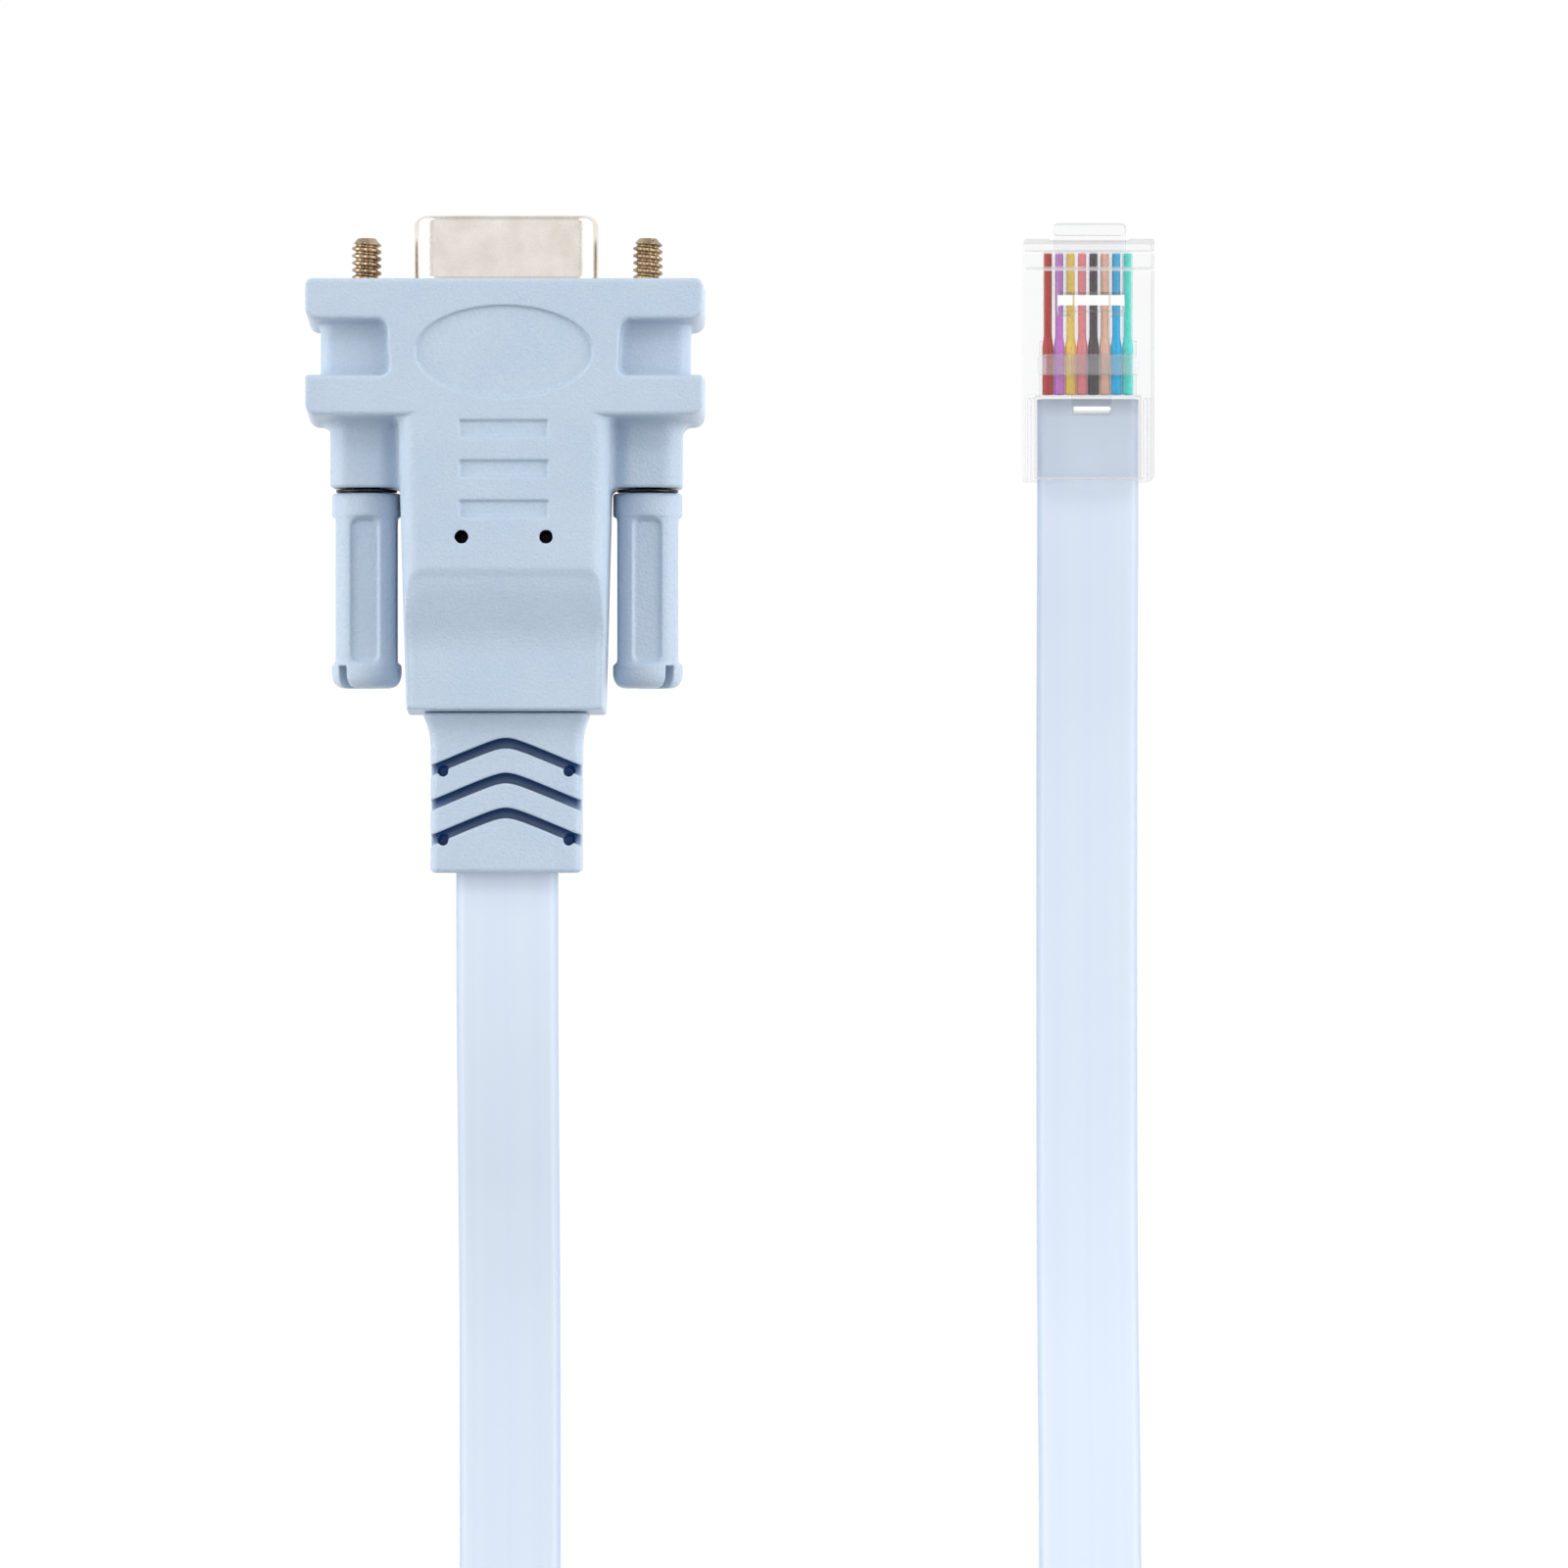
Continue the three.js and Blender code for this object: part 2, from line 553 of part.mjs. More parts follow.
// Flat tie around the coil's turns at its far side
function coilTie() {
  const inner = coilInnerTurn - cableThickness / 2 - runGap;
  const outer = coilOuterTurn + cableThickness / 2 + runGap;
  const frame = new THREE.Shape([[inner - tieThickness, 0], [outer + tieThickness, 0],
    [outer + tieThickness, cableWidth + coilLift + runGap + tieThickness],
    [inner - tieThickness, cableWidth + coilLift + runGap + tieThickness]].map(([x, y]) => new THREE.Vector2(x, y)));
  frame.holes.push(new THREE.Path([[inner, tieThickness], [outer, tieThickness],
    [outer, cableWidth + coilLift + runGap], [inner, cableWidth + coilLift + runGap]]
    .map(([x, y]) => new THREE.Vector2(x, y))));
  const geometry = new THREE.ExtrudeGeometry(frame, { depth: tieWidth, bevelEnabled: false })
    .translate(0, 0, -tieWidth / 2).rotateX(Math.PI / 2).rotateZ(-Math.PI / 2);
  const mesh = piece('coil_tie', toSolid(geometry), black);
  mesh.position.set(coilCentre[0], coilCentre[1], 0);
  return mesh;
}

const wirePlaces = Array.from({ length: wireCount }, (_, i) => (i - (wireCount - 1) / 2) * wirePitch);
const jacketFront = plugLength - jacketInPlug;

function plugHousing() {
  const w = plugWidth / 2;
  const channelHalf = wirePlaces[wireCount - 1] + wireRadius + runGap;
  const channelLow = coreHeight - wireRadius - fitGap;
  const channelHigh = coreHeight + wireRadius + fitGap;
  const entryHalf = cableWidth / 2 + runGap;
  const entryUp = cableThickness / 2 + runGap;
  const block = (y0, y1, height, inset) => moulding({ x0: -w + inset, x1: w - inset, y0, y1, half: height / 2,
    radius: plugEdge, sideTaper: 0, rearTaper: 0, frontTaper: 0, edge: plugEdge }).translate(0, 0, height / 2);
  let solid = join(block(-plugLength, 0, plugHeight, 0), block(-plugLength, -plugLength + plugRearLength,
    plugRearHeight, 0.15));
  solid = cut(solid,
    box(-entryHalf, entryHalf, -plugLength - 1, -jacketFront + runGap, coreHeight - entryUp, coreHeight + entryUp),
    box(-channelHalf, channelHalf, -jacketFront, -wireChannelFront, channelLow, channelHigh),
    box(-channelHalf, channelHalf, -crimpWindowStart - crimpWindowLength, -crimpWindowStart,
      channelHigh - 0.01, plugHeight + 1),
    box(-latchNoseWidth / 2 - runGap, latchNoseWidth / 2 + runGap, -latchPocketDepth, 1,
      plugHeight - latchNoseDrop, plugHeight + 1));
  for (const x of wirePlaces) {
    const half = bladeThickness / 2 + fitGap;
    solid = cut(solid, box(x - half, x + half, -bladeStart - bladeLength - fitGap, 1, -1, channelLow + 0.01));
  }
  return piece('plug_housing', solid, clear);
}

function plugContacts() {
  const top = coreHeight - wireRadius - runGap;
  return wirePlaces.map((x, i) => {
    const mesh = piece(`plug_contact_${i + 1}`,
      new THREE.BoxGeometry(bladeThickness, bladeLength, top - bladeSetback), gold);
    mesh.position.set(x, -bladeStart - bladeLength / 2, (top + bladeSetback) / 2);
    return mesh;
  });
}

function plugWires() {
  const front = wireChannelFront + fitGap;
  const length = jacketFront - runGap - front;
  return wirePlaces.map((x, i) => {
    const material = new THREE.MeshStandardMaterial({ color: wireColours[i], roughness: 0.4, metalness: 0 });
    const mesh = piece(`wire_${i + 1}`, new THREE.CylinderGeometry(wireRadius, wireRadius, length, 10), material);
    mesh.position.set(x, -front - length / 2, coreHeight);
    return mesh;
  });
}

// The lever is turned up about its root, where it flexes; the nose hangs in front of the housing
function plugLatch() {
  const nose = latchPivotDepth + runGap;
  const stopEnd = -latchStopStart - latchStopLength;
  const lever = [
    box(-latchWidth / 2, latchWidth / 2, stopEnd, 0, 0, latchThickness),
    box(-latchWidth / 2, latchWidth / 2, stopEnd, -latchStopStart, 0, latchThickness + latchStopHeight),
    box(-latchTailWidth / 2, latchTailWidth / 2, -latchLength, -latchStopStart, 0, latchThickness),
  ].map((geometry) => geometry.rotateX(-THREE.MathUtils.degToRad(latchAngle)));
  const solid = join(
    box(-latchNoseWidth / 2, latchNoseWidth / 2, nose, nose + latchNoseLength, -latchNoseDrop, latchThickness),
    box(-latchNoseWidth / 2, latchNoseWidth / 2, -latchThickness, nose + latchNoseLength / 2, 0, latchThickness),
    ...lever);
  const mesh = piece('plug_latch', solid, clear);
  mesh.position.set(0, -latchPivotDepth, plugHeight + runGap);
  return mesh;
}

function modularPlug() {
  const group = new THREE.Group();
  group.position.set(plugCentreX, plugFrontY, 0);
  group.add(plugHousing(), plugLatch(), ...plugContacts(), ...plugWires());
  return group;
}

const model = new THREE.Group();
model.add(dsubConnector(), cableTube('cable_from_hood', fromHoodRoute, 26), cableCoil(), coilTie(),
  cableTube('cable_to_plug', toPlugRoute, 32), modularPlug());

export default model;
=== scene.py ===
import math
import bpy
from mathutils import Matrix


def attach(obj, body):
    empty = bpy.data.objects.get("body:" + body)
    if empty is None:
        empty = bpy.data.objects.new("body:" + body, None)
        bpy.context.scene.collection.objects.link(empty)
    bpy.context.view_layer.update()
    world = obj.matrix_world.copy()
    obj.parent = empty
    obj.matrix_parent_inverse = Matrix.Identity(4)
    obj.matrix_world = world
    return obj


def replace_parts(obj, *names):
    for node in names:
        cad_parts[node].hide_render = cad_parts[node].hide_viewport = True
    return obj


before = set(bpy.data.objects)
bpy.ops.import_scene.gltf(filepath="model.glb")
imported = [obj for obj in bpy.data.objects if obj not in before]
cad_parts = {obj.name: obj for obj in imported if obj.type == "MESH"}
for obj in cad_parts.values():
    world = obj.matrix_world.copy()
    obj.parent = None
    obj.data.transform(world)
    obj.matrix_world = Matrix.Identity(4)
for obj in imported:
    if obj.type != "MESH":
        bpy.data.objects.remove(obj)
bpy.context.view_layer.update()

from types import SimpleNamespace
import bmesh
import bpy
import numpy as np

scene = bpy.context.scene
scene.view_settings.view_transform = "Standard"

# All sizes below are in millimetres, with the D-sub end's box centred over the origin.
mm = 0.001
matingFace = 23.225   # y of the D-sub's mating face
midPlane = 7.75       # z of the hood's parting plane
screwX = 12.495       # the thumbscrews' axes, either side

# The camera looks straight down from high above, as the photograph does.
view = {"aimX": 24.6, "aimY": -21.2, "above": 600.0, "fieldWidth": 139.4, "sensor": 36}

lens = bpy.data.cameras.new("overhead")
lens.sensor_width = view["sensor"]
lens.lens = view["sensor"] * view["above"] / view["fieldWidth"]
lens.clip_start, lens.clip_end = 0.05, 20
camera = bpy.data.objects.new("overhead", lens)
camera.location = (view["aimX"] * mm, view["aimY"] * mm, (midPlane + view["above"]) * mm)
scene.collection.objects.link(camera)
scene.camera = camera


# A piece's dictionary, so that its sizes read as s.name.
def named(shape):
    return SimpleNamespace(**shape)


# Puts points (millimetres) and faces of three or four corners into a new object, all at once.
def newPiece(name, points, faceSets, finish):
    points = np.asarray(points, float).reshape(-1, 3) * mm
    faceSets = [np.asarray(faces, np.int32) for faces in faceSets]
    mesh = bpy.data.meshes.new(name)
    mesh.vertices.add(len(points))
    mesh.vertices.foreach_set("co", points.ravel())
    corners = np.concatenate([faces.ravel() for faces in faceSets])
    sizes = np.concatenate([np.full(len(faces), faces.shape[1]) for faces in faceSets])
    mesh.loops.add(len(corners))
    mesh.loops.foreach_set("vertex_index", corners)
    mesh.polygons.add(len(sizes))
    mesh.polygons.foreach_set("loop_start", np.concatenate([[0], np.cumsum(sizes)[:-1]]))
    mesh.polygons.foreach_set("use_smooth", np.ones(len(sizes), bool))
    mesh.update(calc_edges=True)
    mesh.materials.append(finish)
    piece = bpy.data.objects.new(name, mesh)
    scene.collection.objects.link(piece)
    return piece


# Quads of a grid of closed rings: ring i and point j join ring i+1 and point j+1.
def gridFaces(rings, count, wrapRings=False):
    i, j = np.meshgrid(np.arange(rings if wrapRings else rings - 1), np.arange(count), indexing="ij")
    iNext, jNext = (i + 1) % rings, (j + 1) % count
    quads = np.stack([i * count + j, i * count + jNext, iNext * count + jNext, iNext * count + j], -1)
    return quads.reshape(-1, 4)


# Triangles from one middle point to a ring of points that starts at a given index.
def fanFaces(middle, start, count, flip=False):
    j = np.arange(count)
    fan = np.stack([np.full(count, middle), start + j, start + (j + 1) % count], -1)
    return fan[:, ::-1] if flip else fan


# Most shapes are distance fields: functions of x, y, z that are negative inside. Two of them are
# joined with a circular edge (roundBoth) or a circular fillet (roundEither).
def roundBoth(a, b, radius):
    corner = np.sqrt(np.maximum(a + radius, 0) ** 2 + np.maximum(b + radius, 0) ** 2)
    return np.minimum(np.maximum(a, b), -radius) + corner


def roundEither(a, b, radius):
    return -roundBoth(-a, -b, radius)


both = np.maximum     # what two fields share, with a sharp edge


# The solid without the tool, with a rounded edge.
def roundCut(solid, tool, radius):
    return roundBoth(solid, -tool, radius)


# Two fields joined with one radius, and a third joined to them with another.
def block(a, b, corner, c, edge):
    return roundBoth(roundBoth(a, b, corner), c, edge)


# Negative from the low value to the high one.
def between(value, low, high):
    return np.maximum(low - value, value - high)


# Skins a field with quads: one corner in each cell that the surface crosses, at the mean of the
# cell's edge crossings, then pulled onto the surface along the field's slope, each time by no more
# than a part of the step.
def skin(name, field, low, high, step, finish, pulls=3, farthest=0.6):
    axes = [np.arange(a, b + step, step) for a, b in zip(low, high)]
    value = np.asarray(field(*np.meshgrid(*axes, indexing="ij", sparse=True)), np.float64)
    cells = np.array(value.shape) - 1
    owners, places, quads = [], [], []
    for axis in range(3):
        lower = [slice(None)] * 3
        upper = [slice(None)] * 3
        lower[axis], upper[axis] = slice(0, -1), slice(1, None)
        here, there = value[tuple(lower)], value[tuple(upper)]
        spots = np.argwhere((here < 0) != (there < 0))
        a, b = here[tuple(spots.T)], there[tuple(spots.T)]
        crossing = spots.astype(float)
        crossing[:, axis] += a / (a - b)
        first, second = [other for other in range(3) if other != axis]
        ring = []
        for shiftFirst, shiftSecond in ((0, 0), (-1, 0), (-1, -1), (0, -1)):
            cell = spots.copy()
            cell[:, first] += shiftFirst
            cell[:, second] += shiftSecond
            ring.append(np.ravel_multi_index(np.clip(cell, 0, cells - 1).T, cells))
            owners.append(ring[-1])
            places.append(crossing)
        ring = np.stack(ring, -1)
        turnRound = (a < 0) == (axis == 1)
        ring[turnRound] = ring[turnRound][:, ::-1]
        quads.append(ring)
    owners, places = np.concatenate(owners), np.concatenate(places)
    used, index = np.unique(owners, return_inverse=True)
    count = np.bincount(index)
    points = np.stack([np.bincount(index, weights=places[:, k]) / count for k in range(3)], -1)
    points = points * step + np.array([axis[0] for axis in axes])
    small = step * 0.05
    nudges = small * np.eye(3)
    for _ in range(pulls):
        here = field(*points.T)
        slope = np.stack([field(*(points + nudge).T) - field(*(points - nudge).T) for nudge in nudges], -1)
        slope /= 2 * small
        move = slope * (here / np.maximum((slope ** 2).sum(-1), 0.05))[:, None]
        length = np.linalg.norm(move, axis=1, keepdims=True)
        points -= move * np.minimum(1, farthest * step / np.maximum(length, 1e-9))
    faces = np.searchsorted(used, np.concatenate(quads))
    return newPiece(name, points, [faces], finish)


# Thins a skin where it is flat, to about a given count of triangles.
def thin(piece, triangles):
    now = 2 * len(piece.data.polygons)
    if now <= triangles:
        return piece
    modifier = piece.modifiers.new("thin", "DECIMATE")
    modifier.ratio = triangles / now
    piece.data = bpy.data.meshes.new_from_object(piece.evaluated_get(bpy.context.evaluated_depsgraph_get()))
    piece.modifiers.clear()
    return piece


# One socket of a material's nodes; arithmetic on it adds Math nodes.
class Signal:
    def __init__(self, finish, socket):
        self.finish, self.socket = finish, socket

    def math(self, operation, *values):
        return self.finish.add("ShaderNodeMath", {"operation": operation}, dict(enumerate((self,) + values)))

    def __add__(self, other):
        return self.math("ADD", other)

    def __mul__(self, other):
        return self.math("MULTIPLY", other)

    def __sub__(self, other):
        return self.math("SUBTRACT", other)

    def __truediv__(self, other):
        return self.math("DIVIDE", other)

    def __rsub__(self, other):
        return self.math("MULTIPLY", -1.0).math("ADD", other)

    __radd__ = __add__
    __rmul__ = __mul__

    def limit(self, low, high):
        return self.math("MAXIMUM", low).math("MINIMUM", high)

    # 0 below the low value and 1 above the high one
    def ramp(self, low, high):
        return ((self - low) / (high - low)).limit(0.0, 1.0)


# The nodes of one material, or of the world when that is handed in as the owner.
class Finish:
    def __init__(self, name, owner=None):
        self.owner = owner or bpy.data.materials.new(name)
        self.owner.use_nodes = True
        self.tree = self.owner.node_tree
        self.tree.nodes.clear()

    # Adds any node; inputs are numbers, colours or Signals, and the first output comes back.
    def add(self, kind, settings=None, inputs=None, output=0):
        node = self.tree.nodes.new(kind)
        for key, value in (settings or {}).items():
            setattr(node, key, value)
        for key, value in (inputs or {}).items():
            if isinstance(value, Signal):
                self.tree.links.new(value.socket, node.inputs[key])
            else:
                node.inputs[key].default_value = value
        return Signal(self, node.outputs[output]) if node.outputs else None

    def place(self):
        return self.add("ShaderNodeTexCoord", output="Object")

    def mix(self, factor, a, b):
        return self.add("ShaderNodeMix", {"data_type": "RGBA"}, {0: factor, 6: a, 7: b}, output=2)

    # grain is a size in millimetres
    def noise(self, grain, detail=2.0, roughness=0.5):
        return self.add("ShaderNodeTexNoise", {"noise_dimensions": "3D"},
                        {"Vector": self.place(), "Scale": 1000 / grain, "Detail": detail,
                         "Roughness": roughness})

    # a value that mark() has put on the pieces
    def attribute(self, name):
        return self.add("ShaderNodeAttribute", {"attribute_name": name}, output="Fac")

    # A Principled shader whose grain is as deep as depth, in millimetres.
    def surface(self, colour, roughness, height, depth, **rest):
        bump = self.add("ShaderNodeBump", {}, {"Height": height, "Distance": depth * mm, "Strength": 1.0})
        return self.add("ShaderNodeBsdfPrincipled", {}, {
            "Base Color": colour, "Roughness": roughness, "Normal": bump, **rest})

    def finishWith(self, shader):
        self.add("ShaderNodeOutputMaterial", {}, {"Surface": shader})
        return self.owner


# A screen colour, each channel from 0 to 255, in Blender's linear numbers.
def srgb(red, green, blue):
    channels = np.array([red, green, blue]) / 255
    linear = np.where(channels <= 0.04045, channels / 12.92, ((channels + 0.055) / 1.055) ** 2.4)
    return (*linear.tolist(), 1.0)


# The deep blue and near-black colours here are painted shade for slots and pin holes, not the PVC's own
# colours.
pvcLook = {"colour": srgb(190, 205, 221), "cool": srgb(180, 197, 217), "recessShade": srgb(28, 76, 134),
           "pinHoleShade": (0.004, 0.005, 0.008, 1.0), "roughness": 0.34, "grain": 0.25, "fineGrain": 0.11,
           "cloud": 6.0, "grainDepth": 0.07}


# Moulded PVC with a pebbled skin; a point attribute paints shade into it: deep blue painted shade in its
# slots, black painted shade in its pin holes.
def pebbledPvc():
    f = Finish("pebbledPvc")
    grain = f.noise(pvcLook["grain"])
    cloud = f.noise(pvcLook["cloud"], detail=3.0)
    tone = f.mix((grain * 0.6 + cloud * 0.4).ramp(0.35, 0.65), pvcLook["cool"], pvcLook["colour"])
    # Painted shade: the attribute pulls the tone towards deep blue in the slots, and towards black in the pin
    # holes.
    recessShade = f.attribute("recessShade")
    black = (recessShade - 1.0).limit(0.0, 1.0)
    tone = f.mix(recessShade.limit(0.0, 1.0), tone, pvcLook["recessShade"])
    tone = f.mix(black, tone, pvcLook["pinHoleShade"])
    height = grain + f.noise(pvcLook["fineGrain"], detail=1.0) * 0.4
    roughness = grain * 0.15 + (pvcLook["roughness"] - 0.07)
    return f.finishWith(f.surface(tone, roughness, height, pvcLook["grainDepth"], IOR=1.45))


# The edge colour is painted shade for the jacket's rounded narrow edges, not its own colour.
jacketLook = {"colour": srgb(215, 226, 240), "band": srgb(210, 222, 238), "edge": srgb(176, 190, 211),
              "roughness": 0.45, "bands": 7.0, "cloud": 9.0, "edgeShadeFrom": 0.44, "grain": 0.35,
              "grainDepth": 0.004}


# The jacket's tone varies a little in bands along it, and painted shade darkens it over its two narrow,
# rounded edges.
def flatJacket():
    f = Finish("flatJacket")
    uv = f.add("ShaderNodeUVMap", {"uv_map": "jacket"})
    across = f.add("ShaderNodeSeparateXYZ", {}, {"Vector": uv}, output="X")
    lengthwise = f.add("ShaderNodeTexNoise", {"noise_dimensions": "1D"},
                       {"W": across * jacketLook["bands"], "Scale": 1.0, "Detail": 1.0})
    cloud = f.noise(jacketLook["cloud"], detail=3.0)
    tone = f.mix((lengthwise * 0.6 + cloud * 0.4).ramp(0.3, 0.7), jacketLook["band"], jacketLook["colour"])
    # Painted shade: darker towards both narrow edges.
    fromMiddle = (across - 0.5).math("ABSOLUTE")
    tone = f.mix(fromMiddle.ramp(jacketLook["edgeShadeFrom"], 0.5), tone, jacketLook["edge"])
    fine = f.noise(jacketLook["grain"])
    roughness = fine * 0.12 + (jacketLook["roughness"] - 0.06)
    return f.finishWith(f.surface(tone, roughness, fine, jacketLook["grainDepth"], IOR=1.45))


# Plated metal: fine grain and larger patches swing between a colour and its shadow.
def metal(name, colour, shadow, roughness, grain, depth):
    f = Finish(name)
    fine = f.noise(grain, detail=3.0, roughness=0.65)
    patch = f.noise(2.2, detail=3.0)
    tone = f.mix((fine * 0.5 + patch * 0.5).ramp(0.3, 0.7), shadow, colour)
    roughness = (fine * 0.3 + (roughness - 0.15)).limit(0.08, 0.9)
    return f.finishWith(f.surface(tone, roughness, fine, depth, Metallic=1.0))


# A plain plastic whose colour is a little darker in the hollows of its grain.
def plainPlastic(name, colour, roughness, grain=0.3, depth=0.01):
    f = Finish(name)
    fine = f.noise(grain)
    darker = (*(channel * 0.85 for channel in colour[:3]), 1.0)
    tone = f.mix(fine.ramp(0.3, 0.7), darker, colour)
    return f.finishWith(f.surface(tone, fine * 0.1 + (roughness - 0.05), fine, depth, IOR=1.48))


# The near-white colour is a painted highlight for bright lines on the clear plastic.
clearLook = {"turnedFrom": 0.55, "turned": 0.75, "grey": (0.58, 0.58, 0.59, 1.0), "haze": 3.0,
             "highlightWhite": (0.98, 0.98, 0.98, 1.0), "tint": (0.970, 0.971, 0.974, 1.0), "hazeDepth": 0.004}


# Clear moulding: seen through where it faces the eye, grey and glossy where it turns away, and painted white,
# as painted highlight, where a point attribute marks bright lines.
def clearPlastic():
    f = Finish("clearPolycarbonate")
    haze = f.noise(clearLook["haze"])
    turned = f.add("ShaderNodeLayerWeight", {}, {"Blend": 0.5}, output="Facing")
    paintedHighlight = f.attribute("paintedHighlight")
    turned = turned.ramp(clearLook["turnedFrom"], 1.0) * clearLook["turned"]
    # Painted highlight: the attribute makes the surface opaque and white.
    solid = (turned + (haze * 0.03 + 0.01)).math("MAXIMUM", paintedHighlight)
    tone = f.mix(paintedHighlight.ramp(0.0, 0.2), clearLook["grey"], clearLook["highlightWhite"])
    gloss = f.surface(tone, haze * 0.06 + 0.04, haze, clearLook["hazeDepth"], IOR=1.55)
    through = f.add("ShaderNodeBsdfTransparent", {}, {"Color": clearLook["tint"]})
    return f.finishWith(f.add("ShaderNodeMixShader", {}, {0: solid, 1: through, 2: gloss}))


pvc = pebbledPvc()
jacket = flatJacket()
shellNickel = metal("shellNickel", srgb(246, 241, 234), srgb(218, 210, 200), 0.2, 0.13, 0.011)
screwNickel = metal("screwNickel", srgb(204, 184, 156), srgb(112, 92, 72), 0.17, 0.12, 0.006)
# The washers' steel is painted dark as shade: they sit in the narrow, deep gap between boss and grip.
shadedWasherSteel = metal("shadedWasherSteel", srgb(92, 90, 90), srgb(48, 47, 48), 0.28, 0.15, 0.004)
contactGold = metal("contactGold", srgb(222, 180, 92), srgb(176, 132, 58), 0.22, 0.10, 0.003)
blackPlastic = plainPlastic("blackThermoplastic", (0.012, 0.012, 0.014, 1.0), 0.45)
tieBlack = plainPlastic("wovenTie", (0.014, 0.014, 0.016, 1.0), 0.75, grain=0.5, depth=0.05)
polycarbonate = clearPlastic()
print("finishes made")

# The flat cable
cable = {"width": 9.05, "thickness": 2.5, "corner": 0.95, "crown": 0.06, "fullTurns": 5, "outerTurn": 52.6,
         "pitch": 3.2, "coilX": 52.6, "coilY": -158.0, "coilZ": 5.325, "coilStep": 8.0, "exitY": -29.075,
         "innerEnd": 44.0, "liftOver": 120.0, "inward": 3.6, "topZ": 11.45}

# x, y, z of the centre line and the turn of its flat face from lying flat, in degrees
fromHood = np.array([
    [0, -27.5, 7.75, 0], [0, -29.375, 7.75, 0], [0, -34, 7.7, 0], [0, -42, 7.0, 0], [0, -51, 5.4, 0],
    [0, -60, 3.4, 0], [0, -69, 2.0, 0], [0, -79, 1.4, 0], [0, -90, 1.35, 0], [0, -99, 1.8, 4],
    [0, -107, 3.0, 20], [0, -115, 4.3, 45], [0, -123, 5.1, 70], [0, -131, 5.33, 86], [0, -139, 5.33, 90],
    [0, -148.5, 5.325, 90]])
toPlug = np.array([
    [62.9, -122.2, 11.6, 0], [58.2, -115.7, 11.65, 0], [54.6, -108.3, 11.6, 0], [52.4, -101.0, 11.2, 0],
    [51.8, -93, 9.8, 0], [51.8, -84, 7.4, 0], [51.8, -75, 4.9, 0], [51.8, -66, 2.9, 0], [51.8, -56, 1.7, 0],
    [51.8, -44, 1.35, 0], [51.8, -30, 1.35, 0], [51.8, -18, 1.5, 0], [51.8, -8, 2.3, 0], [51.8, 0, 3.1, 0],
    [51.8, 6, 3.3, 0], [51.8, 13.2, 3.3, 0]])


# An S-curve from 0 to 1: 3t^2 - 2t^3, level outside.
def smooth(t):
    t = np.clip(t, 0, 1)
    return t * t * (3 - 2 * t)


# The coil: the radius shrinks by one pitch a turn; over the last part the cable leans over inside
# the ring, and climbs to lie flat on top of the turns.
def coilRoute():
    c = named(cable)
    last = 180 + 360 * c.fullTurns + c.innerEnd + 180
    angle = np.arange(180, last + 0.1, c.coilStep)
    t = (angle - (last - c.liftOver)) / c.liftOver
    radius = c.outerTurn - c.pitch * (angle - 180) / 360 - c.inward * smooth(t / 0.5)
    turn = 90 * (1 - smooth(t / 0.6))
    z = c.coilZ + (c.topZ - c.coilZ) * smooth((t - 0.15) / 0.8)
    a = np.radians(angle)
    return np.stack([c.coilX + radius * np.cos(a), c.coilY + radius * np.sin(a), z, turn], -1)


# Centripetal Catmull-Rom through the points, evaluated for all segments at once.
def through(points, perSegment):
    ends = np.vstack([2 * points[0] - points[1], points, 2 * points[-1] - points[-2]])
    p0, p1, p2, p3 = ends[:-3], ends[1:-2], ends[2:-1], ends[3:]
    gap = lambda a, b: np.sqrt(np.linalg.norm(b[:, :3] - a[:, :3], axis=1))[:, None, None]
    d1, d2, d3 = gap(p0, p1), gap(p1, p2), gap(p2, p3)
    p0, p1, p2, p3 = (p[:, None, :] for p in (p0, p1, p2, p3))
    m1 = (p1 - p0) / d1 - (p2 - p0) / (d1 + d2) + (p2 - p1) / d2
    m2 = (p2 - p1) / d2 - (p3 - p1) / (d2 + d3) + (p3 - p2) / d3
    t = np.linspace(0, 1, perSegment, endpoint=False)[None, :, None]
    h00, h10 = 2 * t ** 3 - 3 * t ** 2 + 1, t ** 3 - 2 * t ** 2 + t
    h01, h11 = -2 * t ** 3 + 3 * t ** 2, t ** 3 - t ** 2
    curve = h00 * p1 + h10 * m1 * d2 + h01 * p2 + h11 * m2 * d2
    return np.vstack([curve.reshape(-1, points.shape[1]), points[-1:]])


# Rounded rectangle of the jacket with slightly crowned faces, as (across, through) pairs.
def jacketSection(steps=6, spans=6):
    w, t, r = cable["width"] / 2, cable["thickness"] / 2, cable["corner"]
    arc = np.radians(np.linspace(0, 90, steps))
    corner = np.stack([w - r + r * np.cos(arc), t - r + r * np.sin(arc)], -1)
    top = np.stack([np.linspace(w - r, -(w - r), spans + 1)[1:-1], np.full(spans - 1, t)], -1)
    half = np.vstack([corner, top, corner[::-1] * [-1, 1]])
    section = np.vstack([half, -half])
    section[:, 1] += np.sign(section[:, 1]) * cable["crown"] * np.cos(np.pi / 2 * section[:, 0] / w)
    return section


